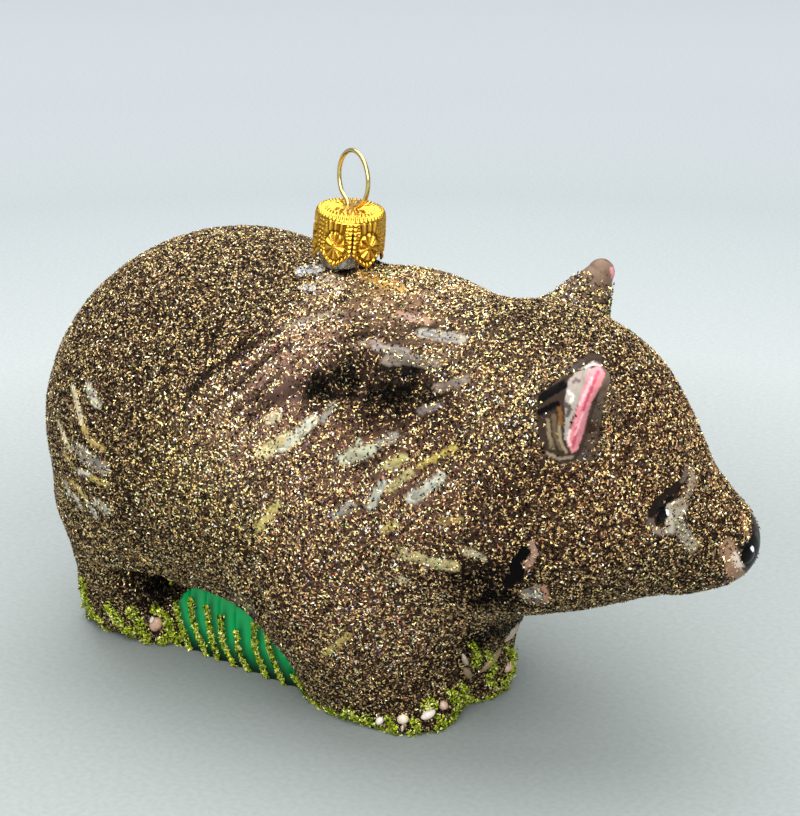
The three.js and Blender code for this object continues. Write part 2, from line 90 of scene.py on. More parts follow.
LOOP = dict(radius=4, feet=1.1, legs=3.6, turn=-20, rise=4.35, opening=32)
GRASS = dict(back=-26.5, front=1.5, side=10.9, height=12.4)

# The view that the photograph was taken from: the camera's place and the point it looks at,
# in the part's frame, its focal length in pixels, and the photograph's size in pixels
CAMERA_AT = (188.9, -234.6, 150.1)
CAMERA_AIM = (4.5, -0.9, 44.8)
FOCAL_PIXELS = 2199.5
PHOTO_SIZE = (800, 816)
SENSOR = 36.0
# The camera's place in the mould's frame
VIEW_FROM = np.add(CAMERA_AT, (MOULD_X, 0, 0))
# Where along a pixel's ray the search for the skin begins and ends, its steps, the share of the distance that
# each step takes, and how far a ray may miss the wombat
RAY_FROM, RAY_TO, RAY_STEPS, RAY_SHARE = 220.0, 420, 70, 0.85
MOST_MISS = 2.0


def linear(hex_colour, alpha=True):
    """Turns an sRGB colour such as "#6b5a4a" into linear values, by the sRGB curve."""
    value = np.array([int(hex_colour[n:n + 2], 16) / 255 for n in (1, 3, 5)])
    value = np.where(value <= 0.04045, value / 12.92, ((value + 0.055) / 1.055) ** 2.4)
    return tuple(value) + ((1.0,) if alpha else ())


# Sizes and colours a user would change
def length(name, description, default):
    """A length property in metres, from millimetres."""
    return FloatProperty(
        name=name, description=description, default=default * MM, min=0, unit="LENGTH", precision=5,
    )


def colour(name, description, default):
    """A colour property from an sRGB hex value."""
    return FloatVectorProperty(
        name=name, description=description, default=linear(default, alpha=False),
        size=3, min=0, max=1, subtype="COLOR",
    )


class SkinSettings(bpy.types.PropertyGroup):
    """The blown skin"""
    cell: length("Cell", "Spacing of the cells that the blown skin is worked out on", 0.58)
    ear_cell: length("Ear cell", "The same for the ears and the nose, which are finer", 0.24)
    groove: length("Groove depth", "Depth of the ribbed grooves in the flank", 0.42)
    lacquer: colour("Lacquer", "Brown lacquer under the glitter", "#231913")


class CoatSettings(bpy.types.PropertyGroup):
    """The glitter coat"""
    grains: IntProperty(name="Grains", description="Glitter grains on the whole coat", default=356000, min=1000)
    size: length("Grain size", "Width of a glitter grain across its face", 0.37)
    lift: length("Grain lift", "Height of a grain's middle over the lacquer", 0.07)


class GrassSettings(bpy.types.PropertyGroup):
    """The moulded grass"""
    pitch: length("Ripple pitch", "Spacing of the ripples like blades of grass", 2.6)
    ripple: length("Ripple depth", "Depth of the ripples", 0.5)
    green: colour("Green lacquer", "Emerald lacquer on the moulded grass", "#0ba455")


class FittingSettings(bpy.types.PropertyGroup):
    """The cap and the loop"""
    wire: length("Wire diameter", "Diameter of the hanging loop's wire", 0.66)
    emboss: length("Emboss depth", "Depth of the pattern pressed into the cap", 0.42)
    gold: colour("Cap gold", "Colour of the stamped cap", "#efb944")
    brass: colour("Wire brass", "Colour of the loop's wire", "#d9c27c")


# Vectors, and distance fields that are negative inside
def turn(yaw=0.0, pitch=0.0, roll=0.0):
    """Rotation matrix: roll about x, then pitch about y, then yaw about z."""
    (sa, sb, sc), (ca, cb, cc) = np.sin(np.radians((yaw, pitch, roll))), np.cos(np.radians((yaw, pitch, roll)))
    about_z = np.array([[ca, -sa, 0], [sa, ca, 0], [0, 0, 1]])
    about_y = np.array([[cb, 0, sb], [0, 1, 0], [-sb, 0, cb]])
    about_x = np.array([[1, 0, 0], [0, cc, -sc], [0, sc, cc]])
    return about_z @ about_y @ about_x


HEAD_TURN = turn(HEAD["yaw"], HEAD["pitch"], HEAD["roll"])
CAP_TURN = turn(pitch=CAP["lean"])


def on_head(point, side=1):
    """Head coordinates to mould coordinates, mirrored to the given side."""
    return np.array(HEAD["at"]) + HEAD_TURN @ (np.array(point, float) * (1, side, 1))


def to_head(points):
    """Mould coordinates to head coordinates."""
    return (points - np.array(HEAD["at"])) @ HEAD_TURN


def ellipsoid(p, at, radii, axes=None):
    """Distance to an ellipsoid, as k0 (k0 - 1) / k1 with k0 the scaled radius and k1 its slope."""
    q = p - np.asarray(at, p.dtype)
    if axes is not None:
        q = q @ np.asarray(axes, p.dtype)
    q = q / np.asarray(radii, p.dtype)
    near = np.linalg.norm(q, axis=-1)
    slope = np.linalg.norm(q / np.asarray(radii, p.dtype), axis=-1)
    return near * (near - 1) / np.maximum(slope, 1e-6)


def round_cone(p, a, b, radius_a, radius_b):
    """Distance to a segment, less a radius that runs evenly from one end to the other."""
    a, along = np.asarray(a, p.dtype), np.asarray(np.subtract(b, a), p.dtype)
    q = p - a
    t = np.clip(q @ along / (along @ along), 0, 1)
    return np.linalg.norm(q - t[..., None] * along, axis=-1) - radius_a - t * (radius_b - radius_a)


def round_box(p, low, high, rounding):
    """Distance to a box with rounded edges."""
    low, high = np.asarray(low, p.dtype), np.asarray(high, p.dtype)
    d = np.abs(p - (low + high) / 2) - (high - low) / 2 + rounding
    return np.linalg.norm(np.maximum(d, 0), axis=-1) + np.minimum(d.max(axis=-1), 0) - rounding


def soft_min(a, b, width):
    """The smaller of two fields, with a rounded seam of the given width."""
    h = np.maximum(width - np.abs(a - b), 0) / width
    return np.minimum(a, b) - h * h * width * 0.25


def leg_field(p, leg, side):
    """A leg: a tapering shank blended into a rounded block of a foot."""
    mirror = np.array((1, side, 1))
    shank = round_cone(p, leg["top"] * mirror, leg["ankle"] * mirror, leg["top_radius"], leg["ankle_radius"])
    (x, y), (hx, hy) = leg["foot"], leg["half"]
    foot = round_box(p, (x - hx, y * side - hy, -FOOT_DEPTH), (x + hx, y * side + hy, leg["instep"]), FOOT_ROUND)
    return soft_min(shank, foot, LEG_BLEND)


def cup_field(p, side):
    """The hollow of an ear."""
    return ellipsoid(p, on_head(EAR["cup"], side), EAR["cup_radii"], HEAD_TURN)


def ear_field(p, side):
    """An ear: a round cone with its hollow carved out of its front."""
    root, tip = on_head(EAR["root"], side), on_head(EAR["tip"], side)
    horn = round_cone(p, root, tip, EAR["root_radius"], EAR["tip_radius"])
    return -soft_min(-horn, cup_field(p, side), EAR["cup_edge"])


def head_field(p):
    """Skull, muzzle, nose and two cheeks, blended."""
    d = ellipsoid(p, on_head(SKULL["at"]), SKULL["radii"], HEAD_TURN)
    root, tip = on_head(MUZZLE["root"]), on_head(MUZZLE["tip"])
    muzzle = round_cone(p, root, tip, MUZZLE["root_radius"], MUZZLE["tip_radius"])
    d = soft_min(d, muzzle, MUZZLE["blend"])
    d = soft_min(d, ellipsoid(p, on_head(NOSE["at"]), NOSE["radii"], HEAD_TURN), NOSE["blend"])
    for side in (-1, 1):
        d = soft_min(d, ellipsoid(p, on_head(CHEEK["at"], side), CHEEK["radii"], HEAD_TURN), CHEEK["blend"])
    return d


def wombat(p):
    """The whole blown form, with its soles flattened just over the table."""
    d = ellipsoid(p, RUMP["at"], RUMP["radii"], turn(pitch=RUMP["pitch"]))
    d = soft_min(d, ellipsoid(p, SHOULDER["at"], SHOULDER["radii"], turn(pitch=SHOULDER["pitch"])), BODY_BLEND)
    d = soft_min(d, head_field(p), HEAD["blend"])
    for side in (-1, 1):
        d = soft_min(d, ear_field(p, side), EAR["blend"])
    for leg in (FRONT_LEG, HIND_LEG):
        for side in (-1, 1):
            d = soft_min(d, leg_field(p, leg, side), LEG_BLEND)
    stem = CAP_TURN @ (0, 0, NECK["collar"] - NECK["collar_radius"])
    d = soft_min(d, round_cone(
        p, CAP["at"] + 2 * stem, CAP["at"] + stem, NECK["collar_radius"], NECK["collar_radius"],
    ), NECK["collar_blend"])
    for side in (-1, 1):
        hollow = ellipsoid(p, HOLLOW["at"] * np.array((1, side, 1)), HOLLOW["radii"])
        d = -soft_min(-d, hollow, HOLLOW["edge"])
    return -soft_min(-d, p[..., 2] - SOLE_LIFT, SOLE_ROUND)


def slope_of(p, field=wombat, h=0.03):
    """A field's gradient by central differences."""
    steps = np.eye(3) * h
    return np.stack([(field(p + s) - field(p - s)) / (2 * h) for s in steps], axis=-1)


def unit(v):
    """Vectors scaled to length one."""
    return v / np.maximum(np.linalg.norm(v, axis=-1, keepdims=True), 1e-9)


def settle(p, field=wombat, rounds=4, most=0.6):
    """Moves points along the gradient until they lie on the field's surface."""
    for _ in range(rounds):
        g = slope_of(p, field)
        step = field(p) / np.maximum((g * g).sum(-1), 0.2)
        p = p - g * np.clip(step, -most, most)[..., None]
    return p


# From the photograph's pixels to the skin
def camera_axes():
    """The camera's right, up and back directions."""
    back = unit(np.subtract(CAMERA_AT, CAMERA_AIM))
    right = unit(np.cross((0, 0, 1), back))
    return right, np.cross(back, right), back


def on_skin(pixels, field=wombat):
    """Where the rays through pixels first meet the field, by stepping along each ray by its distance."""
    pixels = np.asarray(pixels, float)
    right, up, back = camera_axes()
    across = (pixels[..., 0] - PHOTO_SIZE[0] / 2) / FOCAL_PIXELS
    rise = (PHOTO_SIZE[1] / 2 - pixels[..., 1]) / FOCAL_PIXELS
    way = unit(across[..., None] * right + rise[..., None] * up - back)
    travel = np.full(pixels.shape[:-1], RAY_FROM)
    best, nearest = travel.copy(), np.full(travel.shape, np.inf)
    for _ in range(RAY_STEPS):
        away = field(VIEW_FROM + way * travel[..., None])
        better = away < nearest
        best[better], nearest[better] = travel[better], away[better]
        travel = np.minimum(travel + RAY_SHARE * away, RAY_TO)
    if nearest.max() > MOST_MISS:
        raise RuntimeError(f"pixels miss the wombat: {pixels[nearest > MOST_MISS][:4].tolist()}")
    return settle(VIEW_FROM + way * best[..., None], field)


# Meshes
def make_piece(name, points, faces, material, smooth=True, tone=None, bake_uv=None, nodes=(),
               weld=False):
    """A mesh object from arrays of mould points and faces, riding on the root body. Points that meet, as at a
    pole, are made one where weld is set."""
    mesh = bpy.data.meshes.new(name)
    mesh.vertices.add(len(points))
    placed = (np.asarray(points, float) - (MOULD_X, 0, 0)) * MM
    mesh.vertices.foreach_set("co", placed.astype(np.float32).ravel())
    count, sides = faces.shape
    corners = faces.astype(np.int32).ravel()
    mesh.loops.add(len(corners))
    mesh.loops.foreach_set("vertex_index", corners)
    mesh.polygons.add(count)
    mesh.polygons.foreach_set("loop_start", sides * np.arange(count, dtype=np.int32))
    mesh.polygons.foreach_set("use_smooth", np.full(count, smooth))
    mesh.update(calc_edges=True)
    if tone is not None:
        layer = mesh.color_attributes.new(name="tone", type="FLOAT_COLOR", domain="POINT")
        rgba = tone if tone.shape[1] == 4 else np.concatenate([tone, np.ones((len(tone), 1))], axis=1)
        layer.data.foreach_set("color", rgba.astype(np.float32).ravel())
    if bake_uv is not None:
        layer = mesh.uv_layers.new(name="OFBake")
        layer.uv.foreach_set("vector", bake_uv[corners].astype(np.float32).ravel())
    if weld:
        work = bmesh.new()
        work.from_mesh(mesh)
        bmesh.ops.remove_doubles(work, verts=work.verts, dist=0.003 * MM)
        work.to_mesh(mesh)
        work.free()
    mesh.materials.append(material)
    piece = bpy.data.objects.new(name, mesh)
    bpy.context.scene.collection.objects.link(piece)
    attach(piece, "root")
    if nodes:
        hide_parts(*nodes)


def grid_faces(rows, columns, wrap=False, start=0):
    """Quads of a grid of points, closed round its columns where wrap is set."""
    i, j = np.meshgrid(np.arange(rows - 1), np.arange(columns - (0 if wrap else 1)), indexing="ij")
    k = (j + 1) % columns
    here, below = i * columns, (i + 1) * columns
    quads = np.stack([here + j, here + k, below + k, below + j], axis=-1)
    return quads.reshape(-1, 4) + start


def slab(front, back):
    """A closed slab from two grids of points of one shape: front, back turned over, and the rim between."""
    rows, columns = front.shape[:2]
    size = rows * columns
    top = grid_faces(rows, columns)
    under = grid_faces(rows, columns, start=size)[:, ::-1]
    index = np.arange(size).reshape(rows, columns)
    rim = np.concatenate([index[0], index[1:, -1], index[-1, -2::-1], index[-2:0:-1, 0]])
    onward = np.roll(rim, -1)
    sides = np.stack([rim, rim + size, onward + size, onward], axis=-1)
    return np.concatenate([front.reshape(-1, 3), back.reshape(-1, 3)]), np.concatenate([top, under, sides])


def lathe(profile, sides):
    """A closed turned shape: each profile point (radius, height) round the z axis. It ends on the axis."""
    angle = np.linspace(0, 2 * np.pi, sides, endpoint=False)
    radius, height = np.array(profile, float).T
    ring = np.stack([
        radius[:, None] * np.cos(angle), radius[:, None] * np.sin(angle),
        np.repeat(height[:, None], sides, axis=1),
    ], axis=-1)
    return ring.reshape(-1, 3), grid_faces(len(radius), sides, wrap=True)


def joined(parts):
    """Several (points, faces) pairs as one."""
    starts = np.cumsum([0] + [len(points) for points, _ in parts[:-1]])
    faces = [own + start for (_, own), start in zip(parts, starts)]
    return np.concatenate([points for points, _ in parts]), np.concatenate(faces)


def tube(path, radius, sides=14):
    """A round wire: a ring of points carried along a path, with rounded, closed ends."""
    along = unit(np.gradient(path, axis=0))
    side = unit(np.cross(along, (0.0, 1.0, 0.001)))
    other = np.cross(along, side)
    angle = np.linspace(0, 2 * np.pi, sides, endpoint=False)
    ring = np.cos(angle)[:, None] * side[:, None, :] + np.sin(angle)[:, None] * other[:, None, :]
    size = np.full(len(path), radius)
    size[[0, -1]] = 0.001
    size[[1, -2]] = radius * 0.8
    points = path[:, None, :] + ring * size[:, None, None]
    return points.reshape(-1, 3), grid_faces(len(path), sides, wrap=True)[:, ::-1]


def level_skin(field, low, high, cell):
    """A closed mesh of a field: one point in each grid cell that the surface crosses, at the middle of its
    crossings and then settled onto the surface, and one quad across each grid edge that it crosses."""
    count = np.ceil(np.subtract(high, low) / cell).astype(int) + 1
    axes = [low[n] + cell * np.arange(count[n], dtype=np.float32) for n in range(3)]
    grid = np.stack(np.meshgrid(*axes, indexing="ij"), axis=-1).reshape(-1, 3).astype(np.float32)
    values = np.concatenate([field(some) for some in np.array_split(grid, 12)]).reshape(count)
    del grid
    for axis in range(3):
        edge = np.moveaxis(values, axis, 0)
        edge[0], edge[-1] = 1.0, 1.0
    inside = values < 0
    cells = tuple(count - 1)
    total = np.zeros(cells + (3,), np.float32)
    found = np.zeros(cells, np.int8)
    quads = []
    index = np.arange(np.prod(cells)).reshape(cells)
    for axis in range(3):
        first, second = (axis + 1) % 3, (axis + 2) % 3
        a, b = (np.take(values, range(n, count[axis] - 1 + n), axis=axis) for n in (0, 1))
        cross = (a < 0) != (b < 0)
        share = np.where(cross, a / np.where(cross, a - b, 1), 0)
        for da in (0, 1):
            for db in (0, 1):
                cut = [slice(None)] * 3
                cut[first], cut[second] = slice(da, cells[first] + da), slice(db, cells[second] + db)
                here = cross[tuple(cut)]
                found += here
                total[..., axis] += share[tuple(cut)] * here
                total[..., first] += da * here
                total[..., second] += db * here
        at = np.argwhere(cross)
        at = at[(at[:, first] > 0) & (at[:, second] > 0)]
        ring = []
        for da, db in ((-1, -1), (0, -1), (0, 0), (-1, 0)):
            c = at.copy()
            c[:, first] += da
            c[:, second] += db
            ring.append(index[tuple(c.T)])
        ring = np.stack(ring, axis=-1)
        flip = ~inside[tuple(at.T)]
        ring[flip] = ring[flip][:, ::-1]
        quads.append(ring)
    used = np.argwhere(found > 0)
    number = np.full(cells, -1)
    number[tuple(used.T)] = np.arange(len(used))
    points = low + cell * (used + total[tuple(used.T)] / found[tuple(used.T)][:, None])
    return settle(points, field, most=cell / 3), number.ravel()[np.concatenate(quads)]


# Material nodes
def new_material(name, **surface):
    """A material with one Principled shader, its constant values set on the sockets."""
    material = bpy.data.materials.new(name)
    material.use_nodes = True
    shader = material.node_tree.nodes["Principled BSDF"]
    for socket, value in surface.items():
        shader.inputs[socket.replace("_", " ")].default_value = value
    return material, material.node_tree, shader


def add_node(tree, kind, settings=None, links=None, values=None, stops=()):
    """Adds a node, sets its properties and input values, and links its inputs. Stops are a colour ramp's pairs
    of position and hex colour."""
    node = tree.nodes.new(kind)
    for key, value in (settings or {}).items():
        setattr(node, key, value)
    for key, value in (values or {}).items():
        node.inputs[key].default_value = value
    for key, output in (links or {}).items():
        tree.links.new(output, node.inputs[key])
    if stops:
        elements = node.color_ramp.elements
        while len(elements) < len(stops):
            elements.new(0.5)
        for element, (position, value) in zip(elements, stops):
            element.position = position
            element.color = linear(value)
    return node


def brown_lacquer():
    """Brown lacquer brushed over blown glass and strewn with fine glitter: dark, with a fine glint.
    The fine grit is 0.3 mm across."""
    material, tree, shader = new_material(
        "brown_lacquer_on_blown_glass", Roughness=0.6, IOR=1.5, Specular_IOR_Level=0.03,
    )
    place = add_node(tree, "ShaderNodeTexCoord").outputs["Object"]
    grit = add_node(tree, "ShaderNodeTexVoronoi", links={"Vector": place}, values={"Scale": 1 / (0.3 * MM)})
    hue = add_node(tree, "ShaderNodeSeparateColor", links={"Color": grit.outputs["Color"]})
    flecks = add_node(tree, "ShaderNodeValToRGB", links={"Fac": hue.outputs["Red"]}, stops=[
        (0.0, "#060403"), (0.45, "#140d08"), (0.75, "#3a2a1c"), (0.93, "#7a6038"), (1.0, "#d9c088"),
    ])
    base = add_node(tree, "ShaderNodeAttribute", {"attribute_name": "tone"})
    some = add_node(
        tree, "ShaderNodeMath", {"operation": "MULTIPLY"}, {0: base.outputs["Alpha"]}, {1: 0.12},
    )
    mixed = add_node(
        tree, "ShaderNodeMix", {"data_type": "RGBA", "blend_type": "MIX"},
        {"A": base.outputs["Color"], "B": flecks.outputs["Color"], "Factor": some.outputs["Value"]},
    )
    tree.links.new(mixed.outputs["Result"], shader.inputs["Base Color"])
    bump = add_node(
        tree, "ShaderNodeBump", links={"Height": hue.outputs["Green"]},
        values={"Strength": 0.7, "Distance": 0.1 * MM},
    )
    tree.links.new(bump.outputs["Normal"], shader.inputs["Normal"])
    return material


def glitter(name, metallic, roughness):
    """Cut film glitter: flat hard flecks, each of one colour, that glint as they face the light."""
    material, tree, shader = new_material(
        name, Roughness=roughness, Metallic=metallic, IOR=1.5, Specular_IOR_Level=0.1,
    )
    tone = add_node(tree, "ShaderNodeAttribute", {"attribute_name": "tone"})
    tree.links.new(tone.outputs["Color"], shader.inputs["Base Color"])
    return material


def gloss_lacquer(name, roughness=0.14, streak=0.25, coat=0.1, gloss=0.25):
    """Brushed gloss lacquer over blown glass: the brush leaves soft streaks 0.8 mm apart, and the colour
    comes from the painted tone."""
    material, tree, shader = new_material(
        name, Roughness=roughness, IOR=1.5, Specular_IOR_Level=gloss, Coat_Weight=coat, Coat_Roughness=0.1,
    )
    tone = add_node(tree, "ShaderNodeAttribute", {"attribute_name": "tone"})
    place = add_node(tree, "ShaderNodeTexCoord").outputs["Object"]
    noise = add_node(
        tree, "ShaderNodeTexNoise", links={"Vector": place},
        values={"Scale": 1 / (0.8 * MM), "Detail": 3.0, "Roughness": 0.6},
    )
    shade = add_node(
        tree, "ShaderNodeValToRGB", links={"Fac": noise.outputs["Fac"]},
        stops=[(0.3, "#b8b0a8"), (0.7, "#ffffff")],
    )
    mixed = add_node(
        tree, "ShaderNodeMix", {"data_type": "RGBA", "blend_type": "MULTIPLY"},
        {"A": tone.outputs["Color"], "B": shade.outputs["Color"]}, {"Factor": streak * 2},
    )
    tree.links.new(mixed.outputs["Result"], shader.inputs["Base Color"])
    bump = add_node(
        tree, "ShaderNodeBump", links={"Height": noise.outputs["Fac"]},
        values={"Strength": 0.25, "Distance": 0.1 * MM},
    )
    tree.links.new(bump.outputs["Normal"], shader.inputs["Normal"])
    return material


def green_lacquer(green):
    """Emerald lacquer on silvered blown glass: deep, clear and very glossy, and mixed towards near black as
    painted shade at the foot and beside each blade."""
    material, tree, shader = new_material(
        "green_lacquer_on_silvered_glass", Roughness=0.22, IOR=1.5, Specular_IOR_Level=0.3,
        Coat_Weight=0.15, Coat_Roughness=0.08,
    )
    # The tone attribute holds the painted shade.
    depth = add_node(tree, "ShaderNodeAttribute", {"attribute_name": "tone"})
    shade = add_node(
        tree, "ShaderNodeMix", {"data_type": "RGBA", "blend_type": "MIX"}, {"Factor": depth.outputs["Fac"]},
        {"A": linear("#02140c"), "B": (*green, 1)},
    )
    tree.links.new(shade.outputs["Result"], shader.inputs["Base Color"])
    return material


def stamped_metal(gold):
    """Thin sheet metal, gold coloured and stamped. Its painted tone makes it bright on the raised work, a painted
    highlight, and dark in the pressed lines, painted shade.
    """
    material, tree, shader = new_material("stamped_gold_sheet", Metallic=1.0, Roughness=0.26)
    tone = add_node(tree, "ShaderNodeAttribute", {"attribute_name": "tone"})
    shade = add_node(
        tree, "ShaderNodeMix", {"data_type": "RGBA", "blend_type": "MIX"}, {"Factor": tone.outputs["Fac"]},
        {"A": linear("#452a04"), "B": (*gold, 1)},
    )
    tree.links.new(shade.outputs["Result"], shader.inputs["Base Color"])
    place = add_node(tree, "ShaderNodeTexCoord").outputs["Object"]
    noise = add_node(tree, "ShaderNodeTexNoise", links={"Vector": place}, values={"Scale": 1 / (0.5 * MM)})
    rough = add_node(
        tree, "ShaderNodeMapRange", links={"Value": noise.outputs["Fac"]},
        values={"To Min": 0.2, "To Max": 0.38},
    )
    tree.links.new(rough.outputs["Result"], shader.inputs["Roughness"])
    return material


def drawn_wire(brass):
    """Drawn brass wire: bright, with fine lines along it left by the die."""
    material, tree, shader = new_material("drawn_brass_wire", Metallic=1.0, Roughness=0.22)
    place = add_node(tree, "ShaderNodeTexCoord").outputs["Object"]
    noise = add_node(
        tree, "ShaderNodeTexNoise", links={"Vector": place}, values={"Scale": 1 / (0.25 * MM), "Detail": 1.0},
    )
    shade = add_node(
        tree, "ShaderNodeMix", {"data_type": "RGBA", "blend_type": "MIX"}, {"Factor": noise.outputs["Fac"]},
        {"A": (*(0.72 * np.array(brass)), 1), "B": (*brass, 1)},
    )
    tree.links.new(shade.outputs["Result"], shader.inputs["Base Color"])
    return material


def silvered_glass():
    """Blown soda glass silvered inside: pale, mirror bright and faintly waved."""
    material, tree, shader = new_material(
        "silvered_glass_neck", Metallic=0.75, Roughness=0.12, IOR=1.52, Coat_Weight=1.0, Coat_Roughness=0.03,
    )
    place = add_node(tree, "ShaderNodeTexCoord").outputs["Object"]
    noise = add_node(tree, "ShaderNodeTexNoise", links={"Vector": place}, values={"Scale": 1 / (1.6 * MM)})
    shade = add_node(
        tree, "ShaderNodeValToRGB", links={"Fac": noise.outputs["Fac"]},
        stops=[(0.3, "#4f4a42"), (0.7, "#a09c94")],
    )
    tree.links.new(shade.outputs["Color"], shader.inputs["Base Color"])
    return material


# Where the paint and the coat go, from the photograph's pixels
CREAM, WHITE, YELLOW, PEARL = "#c8bd9a", "#d3cfbf", "#b5a25a", "#b3b4a4"
GREY, ROSE, OCHRE = "#8f8a80", "#96745f", "#a8813a"

# Strokes of bare lacquer on the body: three pixels along each one's middle, its half width in pixels,
# its colour, and the share of the glitter grains that still lie on it
STROKES = [
    ([(73, 387), (77, 401), (81, 421)], 2.5, CREAM, 0.15),
    ([(83, 427), (90, 440), (103, 449)], 2.5, "#b39a5c", 0.25),
    ([(89, 387), (93, 396), (97, 404)], 4.2, PEARL, 0.5),
    ([(59, 421), (63, 434), (68, 447)], 2.1, CREAM, 0.15),
    ([(64, 454), (69, 461), (74, 467)], 2.0, YELLOW, 0.2),
    ([(77, 449), (90, 460), (104, 469)], 6.5, GREY, 0.55),
    ([(79, 472), (84, 473), (90, 475)], 2.5, WHITE, 0.1),
    ([(90, 477), (98, 481), (106, 484)], 2.8, YELLOW, 0.2),
    ([(71, 480), (79, 489), (86, 498)], 2.1, YELLOW, 0.2),
    ([(66, 482), (68, 488), (70, 495)], 1.6, WHITE, 0.1),
    ([(74, 494), (78, 501), (81, 508)], 1.6, WHITE, 0.1),
    ([(87, 501), (92, 509), (97, 517)], 1.7, WHITE, 0.1),
    ([(96, 502), (102, 507), (108, 512)], 4.0, PEARL, 0.35),
    ([(262, 453), (274, 446), (288, 438)], 6.2, "#cbbf8c", 0.3),
    ([(282, 447), (295, 438), (312, 421)], 5.6, "#bcbca8", 0.2),
    ([(269, 421), (273, 418), (278, 415)], 4.4, CREAM, 0.35),
    ([(343, 459), (356, 455), (370, 450)], 6.0, "#a9a88e", 0.16),
    ([(353, 450), (357, 446), (359, 441)], 3.0, "#a9a88e", 0.2),
    ([(378, 445), (386, 441), (396, 436)], 4.0, GREY, 0.5),
    ([(387, 466), (396, 462), (405, 457)], 3.8, "#a8a064", 0.2),
    ([(420, 465), (437, 457), (456, 447)], 2.6, "#b5a04e", 0.12),
    ([(390, 489), (399, 481), (409, 472)], 3.6, "#a9a06c", 0.2),
    ([(410, 499), (425, 490), (441, 476)], 5.0, PEARL, 0.14),
    ([(370, 507), (376, 496), (384, 482)], 4.0, PEARL, 0.16),
    ([(335, 516), (342, 511), (350, 505)], 4.6, GREY, 0.55),
    ([(258, 528), (267, 517), (277, 505)], 4.4, "#bcae68", 0.25),
    ([(382, 529), (389, 527), (397, 524)], 3.0, YELLOW, 0.5),
    ([(400, 314), (413, 318), (428, 321)], 4.2, ROSE, 0.2),
    ([(421, 333), (438, 335), (462, 339)], 4.8, GREY, 0.15),
    ([(355, 347), (366, 343), (378, 342)], 4.0, "#77604f", 0.3),
    ([(375, 346), (390, 349), (406, 350)], 3.6, "#857b72", 0.15),
    ([(386, 360), (412, 359), (437, 364)], 5.6, "#6f655a", 0.3),
    ([(437, 388), (451, 384), (466, 379)], 4.2, "#776a5f", 0.15),
    ([(420, 411), (428, 409), (438, 406)], 3.6, "#6c625c", 0.2),
    ([(322, 420), (327, 413), (333, 405)], 3.0, GREY, 0.3),
    ([(284, 328), (310, 319), (340, 312)], 3.2, "#8d7c68", 0.4),
    # The pale grey stroke at the cap's foot is bare silvered glass shown by a painted reflection.
    ([(300, 271), (309, 269), (319, 268)], 4.6, "#b3b5b6", 0.25),
    ([(302, 288), (308, 287), (314, 288)], 3.4, "#a9a8a2", 0.4),
    ([(321, 282), (330, 280), (339, 284)], 6.5, "#a08b78", 0.6),
    ([(362, 275), (380, 280), (400, 288)], 5.5, OCHRE, 0.5),
    ([(402, 553), (425, 560), (455, 567)], 5.0, "#b3a878", 0.3),
    ([(466, 552), (474, 554), (483, 558)], 3.4, "#a59d80", 0.35),
    ([(397, 580), (401, 580), (405, 581)], 3.0, CREAM, 0.3),
    ([(440, 522), (451, 520), (462, 520)], 3.0, "#8f7d44", 0.4),
    ([(325, 653), (337, 645), (348, 635)], 3.6, YELLOW, 0.3),
    ([(233, 598), (243, 604), (254, 613)], 4.6, "#5b5348", 0.15),
]

# Marks on the head, laid one over another: an outline or a line of pixels, the line's half width (0 for a
# filled outline), its colour and the share of the grains that lie on it
EAR_SKIN = [(538, 432), (537, 412), (546, 392), (561, 377), (577, 361), (592, 352), (602, 355), (604, 372)]
EAR_SKIN += [(598, 397), (590, 424), (583, 450), (575, 461), (558, 463), (545, 455)]
EAR_PINK = [(600, 364), (605, 374), (600, 388), (592, 402), (587, 418), (583, 434), (578, 449), (572, 453)]
EAR_PINK += [(567, 443), (571, 426), (577, 408), (582, 392), (588, 372)]
EAR_WHITE = [(565, 399), (568, 381), (578, 370), (590, 363), (592, 374), (584, 392), (578, 404), (571, 422)]
EAR_WHITE += [(567, 441), (564, 440), (565, 418)]
EAR_MARKS = [
    (EAR_SKIN, 0, "#32271f", 0.04),
    ([(548, 420), (549, 436), (553, 448)], 2.0, "#75664e", 0.1),
    ([(554, 416), (555, 434), (561, 448)], 2.2, "#5c4c39", 0),
    ([(559, 424), (560, 440), (566, 452)], 1.6, "#8b7a60", 0),
    ([(547, 453), (559, 459), (572, 457)], 1.6, "#85775f", 0.1),
    # The dark brown line along the pink hollow's edge is painted shade.
    ([(600, 376), (596, 396), (588, 416), (583, 440)], 2.2, "#3d2b23", 0.1),
    ([(558, 404), (560, 412), (561, 424)], 2.0, "#6d4a28", 0),
    (EAR_WHITE, 0, "#9a9086", 0),
    (EAR_PINK, 0, "#cb8084", 0),
    ([(598, 372), (590, 392), (583, 410)], 1.5, "#b04558", 0),
    ([(578, 424), (575, 436), (573, 447)], 1.6, "#b34a5a", 0),
    ([(592, 378), (585, 394), (580, 404)], 1.3, "#e7b3b8", 0),
    ([(583, 414), (578, 428), (575, 434)], 1.1, "#e6a7ae", 0),
    ([(589, 404), (586, 413), (584, 420)], 1.3, "#d98f98", 0),
    ([(570, 431), (568, 438), (570, 445)], 1.2, "#e2c4c0", 0),
    ([(586, 368), (593, 364), (599, 366)], 1.8, "#cfc3ba", 0),
    ([(566, 404), (570, 409), (567, 415)], 2.2, "#4e4640", 0),
    ([(573, 382), (576, 379), (579, 381)], 1.6, "#6d5c56", 0),
    ([(569, 392), (573, 396), (571, 402)], 1.4, "#d8d2c8", 0),
    ([(542, 398), (551, 392), (563, 385)], 4.4, "#050303", 0),
    ([(540, 412), (548, 408), (557, 404)], 3.2, "#060404", 0),
    ([(574, 366), (588, 356), (601, 356)], 2.4, "#3b3029", 0.1),
    ([(597, 269), (604, 264), (610, 268)], 5.0, "#6f5a4b", 0),
    ([(612, 268), (614, 280), (613, 293)], 1.8, "#c98a90", 0),
]
